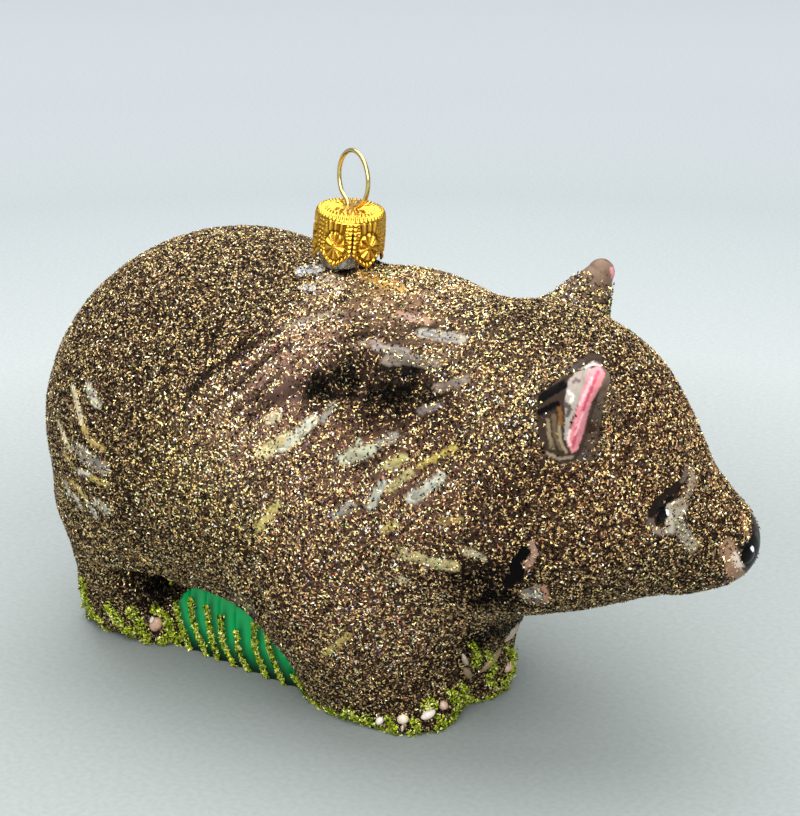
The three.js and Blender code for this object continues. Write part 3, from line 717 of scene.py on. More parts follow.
EYE_MARKS = [
    ([(650, 514), (651, 524), (656, 531)], 4.4, "#5e4d42", 0.15),
    ([(656, 530), (661, 532), (666, 531)], 3.4, "#8a7869", 0.2),
    ([(669, 504), (680, 499), (688, 504), (686, 513), (678, 520), (674, 536), (668, 533), (665, 522)], 0,
     "#989080", 0.3),
    ([(677, 522), (684, 533), (692, 545)], 7.0, "#8c8474", 0.62),
    ([(671, 516), (671, 524), (671, 530)], 2.4, "#ada592", 0.15),
    ([(691, 470), (691, 484), (686, 497), (680, 505)], 3.2, "#8a7864", 0.4),
    ([(651, 514), (655, 504), (666, 495), (678, 485), (684, 475)], 4.1, "#1a110d", 0.02),
    ([(682, 481), (685, 474), (687, 466)], 2.2, "#5d5046", 0.15),
    ([(657, 509), (664, 505), (672, 499)], 2.6, "#0d0908", 0),
    ([(656, 521), (660, 522), (665, 521)], 1.6, "#1a110d", 0),
]
FOLD_MARKS = [
    ([(520, 590), (532, 587), (544, 584), (549, 594), (546, 603), (532, 603), (521, 599)], 0, "#6b6056", 0.4),
    # The pale line in this patch is a painted highlight over the brown.
    ([(524, 596), (532, 594), (540, 596)], 1.6, "#a8a398", 0.2),
    ([(543, 587), (546, 593), (546, 600)], 2.6, "#a37a62", 0.2),
    ([(531, 545), (536, 554), (529, 564), (522, 570)], 3.4, "#8a6c5f", 0.2),
    ([(525, 552), (521, 557), (516, 563), (514, 568)], 5.6, "#040303", 0),
    ([(519, 572), (515, 577), (510, 581)], 6.2, "#040303", 0),
]
NOSE_MARKS = [
    ([(728, 548), (733, 570), (742, 586)], 9.0, "#8a6c58", 0.3),
    # Pale beige paint under the nose, lightened as a painted highlight.
    ([(735, 556), (738, 563), (743, 567)], 4.0, "#c3b3a4", 0.1),
    ([(708, 590), (720, 588), (732, 583)], 4.0, "#7a5d50", 0.25),
    ([(741, 515), (744, 519), (746, 524)], 3.4, "#8a6240", 0.7),
    ([(744, 530), (747, 533), (749, 537)], 2.6, "#84603f", 0.7),
    ([(741, 545), (746, 542), (756, 530), (766, 530), (768, 556), (758, 570), (746, 568), (740, 560)], 0,
     "#0d0b0b", 0),
    # The grey line along the nose pad's rim is a painted sheen on the black.
    ([(756, 532), (761, 545), (760, 556), (753, 566)], 1.2, "#3b3838", 0),
    ([(743, 568), (747, 571), (749, 576)], 1.5, "#33231d", 0.1),
]
# The white glints on the nostril and the eye are painted highlights.
NOSTRIL = dict(
    at=(747.5, 554), radii=(10.5, 7.0), tilt=-72, colour="#050404", glint=(751, 548.5), glint_radii=(1.6, 2.6),
)
EYE = dict(
    at=(663.8, 514.6), radii=(7.4, 5.7), tilt=-38, colour="#060404", glint=(668.3, 512.4), glint_radii=(2.2, 3.4),
)
HEAD_MARKS = EAR_MARKS + EYE_MARKS + FOLD_MARKS + NOSE_MARKS

# Ribs pressed into the flank, and the deeper folds where the legs and the neck meet the body: pixels along
# each one's middle, then for a fold its width and depth in millimetres
RIBS = [
    ((206, 352), (213, 337), (224, 318)), ((236, 359), (262, 338), (300, 321)),
    ((300, 321), (320, 316), (340, 311)), ((254, 394), (270, 380), (308, 350)),
    ((262, 404), (278, 390), (296, 370)), ((182, 402), (196, 388), (208, 374)),
    ((222, 372), (236, 352), (252, 330)), ((240, 385), (254, 368), (276, 350)),
    ((272, 410), (284, 398), (300, 384)), ((224, 398), (234, 386), (246, 372)),
    ((200, 422), (210, 410), (222, 394)), ((330, 345), (352, 336), (380, 332)),
    ((372, 372), (396, 366), (424, 372)), ((398, 330), (424, 326), (452, 330)),
    ((240, 428), (252, 414), (262, 404)), ((350, 474), (362, 466), (378, 458)),
    ((246, 374), (272, 353), (306, 335)), ((258, 414), (277, 397), (294, 384)),
    ((188, 388), (206, 374), (226, 358)), ((226, 418), (248, 402), (272, 388)),
]
RIB_WIDTH = 0.62
FOLDS = [
    ([(137, 497), (142, 530), (150, 560), (163, 583)], 2.2, 1.0),
    ([(238, 500), (240, 540), (252, 585), (268, 620)], 1.8, 0.8),
    ([(212, 588), (230, 596), (246, 607), (262, 622)], 1.2, 0.5),
    ([(527, 540), (517, 560), (512, 580)], 1.3, 0.8),
    ([(658, 518), (664, 513), (672, 506)], 1.5, 0.45),
    ([(690, 470), (690, 484), (684, 498)], 1.1, -0.4),
    ([(545, 610), (560, 611), (585, 606)], 1.6, 0.3),
]
# The folds from this one on lie on the head
ON_HEAD_FROM = 3
# The way that the lacquer was brushed on: streaks run along this turned x axis
STREAK_TURN = turn(yaw=8, pitch=-35)

# Patches of the lacquer and the coat: pixel, radius in mm, lacquer colour and how far it takes over. The black
# patches at the cap's foot, in the hollow before the hind leg and on the chest and the far front leg are painted
# shade.
PATCHES = [
    ((280, 400), 7.0, "#8f6c60", 0.8), ((240, 430), 8.0, "#765a4e", 0.75), ((300, 345), 6.0, "#906d60", 0.8),
    ((400, 300), 7.0, "#7c604c", 0.75), ((440, 350), 7.0, "#6c5545", 0.7), ((360, 440), 9.0, "#62473a", 0.75),
    ((420, 500), 10.0, "#62463a", 0.75), ((300, 500), 10.0, "#604639", 0.7), ((200, 480), 10.0, "#54442f", 0.6),
    ((330, 290), 4.0, "#866a56", 0.6), ((600, 480), 12.0, "#4c3226", 0.6), ((380, 620), 12.0, "#5a4036", 0.65),
    ((500, 400), 7.0, "#5c4636", 0.6), ((385, 285), 4.0, "#7c6038", 0.6), ((230, 575), 4.0, "#3a2f24", 0.7),
    # The last two here are a painted shadow at the cap's foot.
    ((120, 560), 8.0, "#4b3a2c", 0.5), ((345, 268), 2.6, "#0a0705", 0.9), ((335, 262), 2.0, "#0a0705", 0.7),
    ((320, 385), 4.2, "#050302", 0.95), ((345, 380), 5.4, "#050302", 0.95), ((395, 392), 5.6, "#050302", 0.95),
    ((375, 402), 5.0, "#050302", 0.9), ((428, 395), 4.2, "#060404", 0.8), ((410, 374), 3.6, "#070504", 0.8),
    # Painted shade: the black patches on this line and the first two on the next, in the hollow before the hind
    # leg and on the chest and the far front leg.
    ((160, 588), 3.8, "#030202", 0.98), ((176, 588), 2.4, "#030202", 0.98), ((470, 575), 6.0, "#070504", 0.8),
    ((490, 600), 7.0, "#070504", 0.85), ((482, 638), 6.0, "#050403", 0.9), ((505, 500), 5.0, "#120b08", 0.5),
]
SPARSE = [((410, 335), 10.0), ((440, 330), 9.0), ((285, 385), 5.5), ((380, 300), 8.0), ((395, 470), 8.0)]


def pixel_of(points):
    """The photograph's pixels of mould points."""
    right, up, back = camera_axes()
    q = points - VIEW_FROM
    scale = FOCAL_PIXELS / -(q @ back)
    return np.stack([PHOTO_SIZE[0] / 2 + scale * (q @ right), PHOTO_SIZE[1] / 2 - scale * (q @ up)], axis=-1)


def to_line(xy, line):
    """Distance from places to a line of pixels, by the nearest place on each of its segments."""
    best = np.full(xy.shape[:-1], np.inf)
    for a, b in zip(line[:-1], line[1:]):
        along = b - a
        t = np.clip((xy - a) @ along / (along @ along), 0, 1)
        best = np.minimum(best, np.linalg.norm(xy - a - t[..., None] * along, axis=-1))
    return best


def to_edge(xy, outline):
    """Distance to a closed outline, negative inside, where a level ray crosses it an odd number of times."""
    closed = np.concatenate([outline, outline[:1]])
    inside = np.zeros(xy.shape[:-1], bool)
    for (ax, ay), (bx, by) in zip(closed[:-1], closed[1:]):
        if ay != by:
            crosses = (ay > xy[..., 1]) != (by > xy[..., 1])
            inside ^= crosses & (xy[..., 0] < ax + (xy[..., 1] - ay) * (bx - ax) / (by - ay))
    return np.where(inside, -1, 1) * to_line(xy, closed)


def cover(xy, mark, soft=1.4):
    """How far a mark covers places, from 0 to 1, with an edge that wavers as a brush's does."""
    line, half_width = np.array(mark[0], float), mark[1]
    away = to_line(xy, line) - half_width if half_width else to_edge(xy, line)
    x, y = xy[..., 0], xy[..., 1]
    waver = np.sin(0.83 * x + 0.31 * y + 1.7 * np.sin(0.37 * y)) * np.sin(0.91 * y - 0.43 * x)
    return np.clip(0.5 - (away + 0.6 * waver) / soft, 0, 1)


def laid(xy, marks, soft=1.4):
    """The colour of marks laid one over another, and how far they cover the places in all."""
    colours = np.zeros(xy.shape[:-1] + (3,))
    whole = np.zeros(xy.shape[:-1])
    for mark in marks:
        share = cover(xy, mark, soft)
        weight = np.where(whole > 0.01, share, (share > 0.01) * 1.0)[..., None]
        colours = colours * (1 - weight) + weight * np.array(linear(mark[2], alpha=False))
        whole = np.maximum(whole, share)
    return colours, whole


def mirror_on_head(points):
    """Points mirrored across the head's own middle plane."""
    local = to_head(points) * (1, -1, 1)
    return np.array(HEAD["at"]) + local @ HEAD_TURN.T


def lattice_noise(points, cell, seed):
    """Random values from 0 to 1 on a lattice, blended smoothly between its corners."""
    table = np.random.default_rng(seed).random((32, 32, 32))
    q = points / np.array(cell) + 500
    base = np.floor(q).astype(int)
    f = q - base
    f = f * f * (3 - 2 * f)
    total = np.zeros(len(points))
    for dx in (0, 1):
        for dy in (0, 1):
            for dz in (0, 1):
                step = np.array((dx, dy, dz))
                weight = np.prod(np.where(step, f, 1 - f), axis=1)
                total += weight * table[tuple(((base + step) % 32).T)]
    return total


def sample_line(pixels, count=40):
    """Places at even steps along a line of pixels."""
    line = np.array(pixels, float)
    at = np.concatenate([[0], np.cumsum(np.linalg.norm(np.diff(line, axis=0), axis=1))])
    s = np.linspace(0, at[-1], count)
    return np.stack([np.interp(s, at, line[:, 0]), np.interp(s, at, line[:, 1])], axis=-1)


# The pieces
shared = {}


def place_creases(groove):
    """The ribs and folds as lines on the skin, each with its mirror image, its width and its depth."""
    creases = []
    rows = [(line, RIB_WIDTH, groove) for line in RIBS] + FOLDS
    for number, (line, width, depth) in enumerate(rows):
        points = on_skin(sample_line(line))
        on_head_side = number - len(RIBS) >= ON_HEAD_FROM
        mirrored = mirror_on_head(points) if on_head_side else mirror_on_body(points)
        creases += [(points, width, depth), (mirrored, width, depth)]
    return creases


def pressed(points, creases):
    """How deep creases press points in: each one's depth times the bell curve of the distance from its line,
    thinned towards the line's ends, and all added."""
    depth = np.zeros(len(points))
    for line, width, most in creases:
        low, high = line.min(0) - 3 * width, line.max(0) + 3 * width
        close = np.where(((points > low) & (points < high)).all(axis=1))[0]
        if not len(close):
            continue
        away = np.linalg.norm(points[close][:, None] - line[None], axis=-1)
        nearest = away.argmin(1)
        taper = np.sin(np.pi * (nearest + 0.7) / (len(line) + 0.4)) ** 0.5
        depth[close] += most * taper * np.exp(-(away.min(1) / width) ** 2)
    return depth


def hollows(points):
    """How deep the skin is pressed in at points: by the creases, and by low lumps all over."""
    lumps = 0.16 * (lattice_noise(points, 3.2, 5) - 0.5) + 0.1 * (lattice_noise(points, 1.5, 6) - 0.5)
    return lumps + pressed(points, shared["creases"])


def painted_groove_shade(points, width=0.7):
    """How deep in a rib's groove points lie, from 0 to 1: the weight of the painted shade that darkens the
    grooves.
    """
    ribs = [(line, width, 1.0) for line, _, _ in shared["creases"][:2 * len(RIBS)]]
    return np.clip(pressed(points, ribs), 0, 1)


def same(points):
    """Points left where they are."""
    return points


def mirror_on_body(points):
    """Points mirrored across the body's middle plane."""
    return points * (1, -1, 1)


def skin_at(pixels, mirror=same):
    """Points of the pressed skin under pixels, or under their mirror image, and the directions out of it."""
    points = mirror(on_skin(pixels.reshape(-1, 2)))
    if mirror is not same:
        points = settle(points, rounds=3)
    normal = unit(slope_of(points))
    points = points - normal * hollows(points)[:, None]
    return points.reshape(pixels.shape[:-1] + (3,)), normal.reshape(pixels.shape[:-1] + (3,))


def seen_marks(points, normals, marks, on_head_side, soft=1.4):
    """For each mark: the points near it that face the camera, and how far it covers them. Then the same for
    its mirror image, on the points that face away."""
    for mirrored in (False, True):
        q, n = points, normals
        if mirrored and on_head_side:
            q, n = mirror_on_head(points), mirror_on_body(normals @ HEAD_TURN) @ HEAD_TURN.T
        elif mirrored:
            q, n = mirror_on_body(points), mirror_on_body(normals)
        facing = ((VIEW_FROM - q) * n).sum(1) > 0
        if mirrored:
            facing &= ((VIEW_FROM - points) * normals).sum(1) < 0
        xy = pixel_of(q)
        for mark in marks:
            line = np.array(mark[0], float)
            margin = mark[1] + 4
            low, high = line.min(0) - margin, line.max(0) + margin
            close = np.where(facing & ((xy > low) & (xy < high)).all(axis=1))[0]
            middle = shared["spots"][tuple(mark[0][len(mark[0]) // 2])]
            reach = np.linalg.norm(high - low) / 7 + 3
            close = close[np.linalg.norm(q[close] - middle, axis=1) < reach]
            if len(close):
                yield mark, close, cover(xy[close], mark, soft)


def paint_over(base, points, normals, marks, on_head_side, soft=1.4):
    """Colours at points with each mark's own colour laid over them, as far as the mark covers them."""
    for mark, close, covered in seen_marks(points, normals, marks, on_head_side, soft):
        weight = covered[:, None]
        base[close] = base[close] * (1 - weight) + weight * np.array(linear(mark[2], alpha=False))
    return base


def spot_bells(points, pixel, radius, power=2.5):
    """How near points lie to a pixel's spot, and then to its mirror image: e to the power of minus the distance
    in radii, itself raised to a power that flattens the middle."""
    for side in (1, -1):
        away = np.linalg.norm(points - shared["spots"][pixel] * (1, side, 1), axis=1) / radius
        yield np.exp(-away ** power)


def coat_share(points, normals):
    """The share of the glitter coat that holds at points: less on the bare marks and where it is sparse, and
    less in the black patches and the ribs' grooves, so that their dark lacquer shows, which is in part painted
    shade.
    """
    share = np.ones(len(points))
    streaks = lattice_noise(points @ STREAK_TURN, (5.0, 0.9, 1.1), 8)
    thin = np.zeros(len(points))
    for pixel, radius in SPARSE:
        for bell in spot_bells(points, pixel, radius, power=2):
            thin = np.maximum(thin, bell)
    share *= 1 - thin * np.clip(2.1 * streaks - 0.5, 0, 0.85)
    # Fewer grains in the black patches and the ribs' grooves, where the lacquer is in part painted shade.
    share *= (1 - 0.58 * black_and_painted_shade(points)) * (1 - 0.75 * painted_groove_shade(points))
    for marks, on_head_side in ((STROKES, False), (HEAD_MARKS, True)):
        for mark, close, covered in seen_marks(points, normals, marks, on_head_side):
            share[close] = np.minimum(share[close], 1 - covered * (1 - mark[3]))
    return share


def is_black(hex_colour):
    """Whether a patch's lacquer is black."""
    return sum(linear(hex_colour, alpha=False)) < 0.02


def black_and_painted_shade(points):
    """How far points lie in the black patches, from 0 to 1, broken up by streaks. Those on the chest and the far
    front leg, in the hollow before each hind leg and at the cap's foot are painted shade.
    """
    dark = np.zeros(len(points))
    for pixel, radius, hex_colour, share in PATCHES:
        if is_black(hex_colour):
            for bell in spot_bells(points, pixel, radius):
                dark = np.maximum(dark, share * bell)
    streaks = lattice_noise(points @ STREAK_TURN, (2.6, 1.1, 1.3), 16)
    patchy = 0.65 + 0.4 * streaks + 0.3 * lattice_noise(points, 0.8, 17)
    return np.clip(1.15 * dark * patchy, 0, 1)


def tone_of(points, normals):
    """The lacquer's colour at points of the skin: brown, with the patches blended in on both sides, soft
    mottling, painted shade in the ribs' grooves, the black patches (in part painted shade) and the marks' own
    colours where they are bare."""
    base = np.tile(shared["lacquer"], (len(points), 1))
    for pixel, radius, hex_colour, share in PATCHES:
        if is_black(hex_colour):
            continue
        for bell in spot_bells(points, pixel, radius):
            weight = (share * bell)[:, None]
            base = base * (1 - weight) + weight * np.array(linear(hex_colour, alpha=False))
    # Darkened in the black patches, in part painted shade.
    base = base * (1 - black_and_painted_shade(points))[:, None]
    mottle = lattice_noise(points @ STREAK_TURN, (6.0, 1.2, 1.4), 9) + lattice_noise(points, 2.2, 10)
    # Darker in the ribs' grooves: painted shade.
    base = base * ((0.45 + 0.55 * mottle) * (1 - 0.93 * painted_groove_shade(points)))[:, None]
    base = paint_over(base, points, normals, STROKES, on_head_side=False)
    return paint_over(base, points, normals, HEAD_MARKS, on_head_side=True)


def mesh_normals(points, quads):
    """Directions out of a mesh at its points: the sum of its faces' directions round each one."""
    a, b, c, d = (points[quads[:, n]] for n in range(4))
    across = np.cross(c - a, d - b)
    total = np.stack([
        np.bincount(quads.ravel(), weights=np.repeat(across[:, n], 4), minlength=len(points)) for n in range(3)
    ], axis=-1)
    return unit(total)


# The box that the skin is worked out in, and how far it lies under the grains' own surface
SKIN_BOX = ((-52.0, -35.0, -2.0), (66.0, 37.0, 76.0))
SKIN_UNDER = 0.03


class ORNAMENT_OT_blown_skin(bpy.types.Operator):
    """The blown glass skin of the wombat, from nose to rump, as one closed surface with its ribs and folds"""
    bl_idname = "ornament.blown_skin"
    bl_label = "Blown skin"

    def execute(self, context):
        sizes = context.scene.ornament_skin
        shared["lacquer"] = np.array(sizes.lacquer)
        spots = [p[0] for p in PATCHES] + [s[0] for s in SPARSE]
        marks = STROKES + HEAD_MARKS + LIME_MARKS + CLAW_MARKS
        spots += [tuple(mark[0][len(mark[0]) // 2]) for mark in marks]
        shared["spots"] = dict(zip(spots, on_skin(np.array(spots, float))))
        shared["creases"] = place_creases(sizes.groove / MM)
        points, quads = level_skin(wombat, *SKIN_BOX, sizes.cell / MM)
        normal = unit(slope_of(points))
        points = points - normal * (SKIN_UNDER + hollows(points))[:, None]
        normal = mesh_normals(points, quads)
        tone = np.concatenate([tone_of(points, normal), coat_share(points, normal)[:, None]], axis=1)
        shared.update(skin=points, quads=quads, normal=normal)
        make_piece(
            "blown_skin", points, quads, brown_lacquer(), tone=tone,
            nodes=("torso", "head", "leg_front_left", "leg_front_right", "leg_hind_left", "leg_hind_right"),
        )
        return {"FINISHED"}


# How far round an ear's middle its own finer mesh reaches, how high that middle is over the root, and how far
# the meshes of the ears and the nose stand out of the skin
EAR_REACH = 8.4
EAR_MIDDLE = 7
EAR_PROUD = 0.03
NOSE_PROUD = 0.04
NOSE_REACH = 8


def ear_axes(side):
    """An ear's own frame: its root, and axes with z from root to tip."""
    root, tip = on_head(EAR["root"], side), on_head(EAR["tip"], side)
    up = unit(tip - root)
    ahead = unit(np.cross(np.cross(up, HEAD_TURN[:, 0]), up))
    return root, np.stack([ahead, np.cross(up, ahead), up], axis=-1)


class ORNAMENT_OT_ears(bpy.types.Operator):
    """Both ears: smooth lacquer outside and a pink painted hollow"""
    bl_idname = "ornament.ears"
    bl_label = "Ears"

    def execute(self, context):
        cell = context.scene.ornament_skin.ear_cell / MM
        material = gloss_lacquer("ear_lacquer_on_blown_glass", roughness=0.24, streak=0.2, coat=0, gloss=0.1)
        for name, side in (("left", 1), ("right", -1)):
            root, axes = ear_axes(side)
            middle = root + axes[:, 2] * EAR_MIDDLE

            def ear_part(p):
                local = (p - middle.astype(p.dtype)) @ axes.astype(p.dtype)
                near_ear = np.linalg.norm(local / np.array((1, 1, 1.1), p.dtype), axis=-1) - EAR_REACH
                return np.maximum(wombat(p) - EAR_PROUD, near_ear)

            points, quads = level_skin(ear_part, middle - EAR_REACH * 1.25, middle + EAR_REACH * 1.25, cell)
            make_piece(
                f"ear_shell_{name}", points, quads, material, nodes=(f"ear_{name}",),
                tone=ear_tone(points, mesh_normals(points, quads), side),
            )
        return {"FINISHED"}


def ear_tone(points, normals, side):
    """The ear's lacquer: beige at the tip and brown below, with the painted marks over it."""
    root, axes = ear_axes(side)
    rise = np.clip(((points - root) @ axes)[:, 2] / 4 - 1.6, 0, 1)[:, None]
    base = rise * np.array(linear("#6b5748", alpha=False)) + (1 - rise) * np.array(linear("#4a3d33", alpha=False))
    return paint_over(base, points, normals, EAR_MARKS, on_head_side=True, soft=1.0)


def stroke_grid(pixels, half_width, mirror, along=19, across=7):
    """Points on the skin under a brush stroke: a quadratic curve through its three pixels. Its width rises and
    falls as a low power of a parabola from end to end, and wavers as a dry brush's does."""
    a, b, c = np.array(pixels, float)
    middle = 2 * b - (a + c) / 2
    s = np.linspace(0, 1, along)[:, None]
    line = (1 - s) ** 2 * a + 2 * s * (1 - s) * middle + s ** 2 * c
    run = unit(np.gradient(line, axis=0))
    normal = np.stack([-run[:, 1], run[:, 0]], axis=-1)
    phase = a[0] + 0.7 * a[1]
    waver = 1 + 0.16 * np.sin(7 * s + phase) + 0.1 * np.sin(17 * s + 2 * phase)
    width = half_width * waver * np.maximum(4 * s * (1 - s), 0.002) ** 0.38
    t = np.linspace(-1, 1, across)
    edge = 1 + 0.12 * np.sin(23 * s + 9 * t + phase) * np.abs(t)
    pixel = line[:, None, :] + normal[:, None, :] * (width * edge * t)[..., None]
    return skin_at(pixel, mirror)


def paint_slab(points, normal, height=0.06, sink=0.3):
    """A thin coat of paint on the skin: raised in the middle, and its edge and back below the skin."""
    rows, columns = points.shape[:2]
    s = np.linspace(-1, 1, rows)[:, None]
    t = np.linspace(-1, 1, columns)[None, :]
    dome = (1 - s ** 8) * (1 - t ** 4)
    front = points + normal * ((height + 0.08) * dome - 0.08)[..., None]
    return slab(front, points - normal * sink)


class ORNAMENT_OT_brush_strokes(bpy.types.Operator):
    """Short strokes of bare cream, pearl and brown lacquer on the rump, shoulder and neck"""
    bl_idname = "ornament.brush_strokes"
    bl_label = "Brush strokes"

    def execute(self, context):
        parts, tones = [], []
        for pixels, half_width, hex_colour, _ in STROKES:
            for mirror, order in ((same, 1), (mirror_on_body, -1)):
                shape, faces = paint_slab(*stroke_grid(pixels, half_width, mirror))
                shade = 0.45 + 0.6 * lattice_noise(shape, (1.6, 0.6, 0.8), 12)
                parts.append((shape, faces[:, ::order]))
                tones.append(shade[:, None] * np.array(linear(hex_colour, alpha=False)))
        points, faces = joined(parts)
        material = gloss_lacquer("pearl_lacquer", 0.2)
        make_piece("bare_strokes", points, faces, material, tone=np.concatenate(tones))
        return {"FINISHED"}


def paint_patch(marks, mirror, step=0.88, margin=5, height=0.07, sink=0.4):
    """A thin coat over the rectangle of pixels round some marks: a grid of points on the skin, raised where a
    mark covers it and below the skin elsewhere."""
    spread = np.concatenate([np.array(mark[0], float) for mark in marks])
    low, high = spread.min(0) - margin, spread.max(0) + margin
    xy = np.stack(np.meshgrid(*(np.arange(low[n], high[n], step) for n in range(2)), indexing="ij"), axis=-1)
    tone, covered = laid(xy, marks)
    covered[[0, -1]] = 0
    covered[:, [0, -1]] = 0
    points, normal = skin_at(xy, mirror)
    front = points + normal * ((height + 0.16) * covered - 0.16)[..., None]
    shape, faces = slab(front, points - normal * sink)
    tone = tone.reshape(-1, 3)
    return shape, faces, np.concatenate([tone, tone])


def blob(spot, height, mirror, sink=0.3, rings=12, sides=32):
    """A raised drop of paint over an oval of pixels: rings of points on the skin, whose height is that of half a
    circle from the middle to the rim, and then the same rings again below the skin."""
    radius = np.sin(np.linspace(0, np.pi / 2, rings))
    r = np.concatenate([radius, radius[::-1]])[:, None]
    angle = np.linspace(0, 2 * np.pi, sides, endpoint=False)[None, :]
    tilt = math.radians(spot["tilt"])
    u, v = spot["radii"][0] * r * np.cos(angle), spot["radii"][1] * r * np.sin(angle)
    xy = np.stack([u * math.cos(tilt) - v * math.sin(tilt), u * math.sin(tilt) + v * math.cos(tilt)], axis=-1)
    points, normal = skin_at(xy + spot["at"], mirror)
    rise = np.concatenate([(height + 0.08) * np.sqrt(1 - radius ** 2) - 0.08, np.full(rings, -sink)])
    shape = (points + normal * rise[:, None, None]).reshape(-1, 3)
    faces = grid_faces(2 * rings, sides, wrap=True)
    tone = np.tile(linear(spot["colour"], alpha=False), (len(shape), 1))
    # A spot's glint is a painted highlight: white over an oval of its raised front.
    if "glint" in spot:
        glint = np.linalg.norm((xy + spot["at"] - spot["glint"]) / spot["glint_radii"], axis=-1).ravel() < 1
        glint[rings * sides:] = False
        tone[glint] = linear("#ffffff", alpha=False)
    return shape, faces, tone


class ORNAMENT_OT_face(bpy.types.Operator):
    """The painted eyes with their brows, the nose pad and the neck folds"""
    bl_idname = "ornament.face"
    bl_label = "Face"

    def execute(self, context):
        gloss = gloss_lacquer("face_lacquer", 0.3, streak=0.1, coat=0, gloss=0.05)
        black = gloss_lacquer("black_eye_lacquer", 0.1, streak=0.02, coat=0, gloss=0.08)
        for name, mirror, order in (("right", same, 1), ("left", mirror_on_head, -1)):
            shape, faces, tone = blob(EYE, 0.55, mirror)
            make_piece(
                f"eye_paint_{name}", shape, faces[:, ::order], black, tone=tone,
                nodes=(f"eye_{name}",), weld=True,
            )
            shape, faces, tone = blob(NOSTRIL, 0.3, mirror)
            make_piece(
                f"nostril_{name}", shape, faces[:, ::order], black, tone=tone, weld=True,
            )
            patches = [paint_patch(EYE_MARKS, mirror), paint_patch(FOLD_MARKS, mirror)]
            points, faces = joined([(shape, faces[:, ::order]) for shape, faces, _ in patches])
            make_piece(
                f"face_paint_{name}", points, faces, gloss,
                tone=np.concatenate([patch[2] for patch in patches]),
            )
        back, under = NOSE["back"], NOSE["under"]

        def nose_part(p):
            local = (p - np.asarray(HEAD["at"], p.dtype)) @ HEAD_TURN.astype(p.dtype)
            return np.maximum(wombat(p) - NOSE_PROUD, np.maximum(back - local[..., 0], under - local[..., 2]))

        middle = on_head(NOSE["at"])
        cell = context.scene.ornament_skin.ear_cell / MM
        points, quads = level_skin(nose_part, middle - NOSE_REACH, middle + NOSE_REACH, cell)
        tone = np.tile(linear("#2a201c", alpha=False), (len(points), 1))
        near_side = to_head(points)[:, 1] < 0
        xy = pixel_of(np.where(near_side[:, None], points, mirror_on_head(points)))
        colours, covered = laid(xy, NOSE_MARKS)
        tone = tone * (1 - covered[:, None]) + colours * covered[:, None]
        make_piece("nose_pad", points, quads, gloss, tone=tone, nodes=("nose",))
        return {"FINISHED"}


# Where the nose's tip begins, which is nearly bare, along the head, and the share of its grains that are kept
NOSE_BARE_FROM = 38.0
NOSE_SHARE = 0.04
# On an ear: how high over the root the coat grows, how near the hollow's rim it thins and to what share, and
# how far its grains are lifted to clear the finer mesh
EAR_COAT_TOP = 9.4
EAR_RIM, EAR_RIM_SHARE = 0.35, 0.15
EAR_LIFT = 0.13
# How far grains are lifted where the coat is thin, and how strongly the lacquer's colour tints them
THIN_LIFT = 0.09
TINT = 0.42
# Painted light on the grains: how much darker they are in a rib's groove, as painted shade, and brighter on the
# ridges beside it, as a painted highlight, and the ridges' width
GROOVE_PAINTED_SHADE, RIDGE_PAINTED_LIGHT, RIDGE_WIDTH = 0.8, 0.7, 1.5
# Colours of the glitter grains and the share of grains that have each
GRAIN_TONES = [
    ("#070503", 0.27), ("#241a12", 0.17), ("#5c4736", 0.17), ("#8e7353", 0.15), ("#bda06a", 0.12),
    ("#e0c987", 0.075), ("#f8eec8", 0.03), ("#8f4a3c", 0.006), ("#5f7a4a", 0.006), ("#6d5f84", 0.003),
]


def grain_mesh(roots, normals, size, lift, random):
    """Four-faced flecks: an even triangle of about the grain's width, tipped at random off the skin, and a
    low peak behind it, worked out for all the roots at once."""
    count = len(roots)
    facing = unit(normals + 0.62 * random.normal(size=(count, 3)))
    side = unit(np.cross(facing, random.normal(size=(count, 3))))
    other = np.cross(facing, side)
    radius = 0.58 * size * random.uniform(0.6, 1.3, count)
    middle = roots + normals * (lift * random.uniform(0.2, 1.6, count))[:, None]
    corners = []
    for angle in np.radians((0, 120, 240)):
        corners.append(middle + (1.4 * np.cos(angle) * side + 0.75 * np.sin(angle) * other) * radius[:, None])
    corners.append(middle + facing * (0.4 * radius)[:, None])
    points = np.stack(corners, axis=1).reshape(-1, 3)
    base = 4 * np.arange(count)[:, None, None]
    faces = base + np.array([(0, 1, 3), (1, 2, 3), (2, 0, 3), (2, 1, 0)])[None]
    return points, faces.reshape(-1, 3)


def scatter(points, quads, normals, count, random, only=None):
    """Random roots on a mesh: triangles drawn by area, and an even place in each one. Where only is given, the
    roots keep to the faces whose points it holds for."""
    triangles = np.concatenate([quads[:, [0, 1, 2]], quads[:, [0, 2, 3]]])
    if only is not None:
        triangles = triangles[only[triangles].all(axis=1)]
    a, b, c = (points[triangles[:, n]] for n in range(3))
    area = np.linalg.norm(np.cross(b - a, c - a), axis=1)
    draw = np.searchsorted(np.cumsum(area) / area.sum(), random.random(count))
    picked = triangles[draw.clip(max=len(area) - 1)]
    u, v = random.random((2, count))
    fold = u + v > 1
    u[fold], v[fold] = 1 - u[fold], 1 - v[fold]
    share = np.stack([1 - u - v, u, v], axis=-1)[..., None]
    return (points[picked] * share).sum(1), unit((normals[picked] * share).sum(1))


# The coat's pieces, and where along x the first five part
ZONES = ["rump", "hip", "flank", "back", "shoulder", "neck", "muzzle", "front_legs", "hind_legs"]
ZONE_CUTS = (-34, -18, -2, 14)


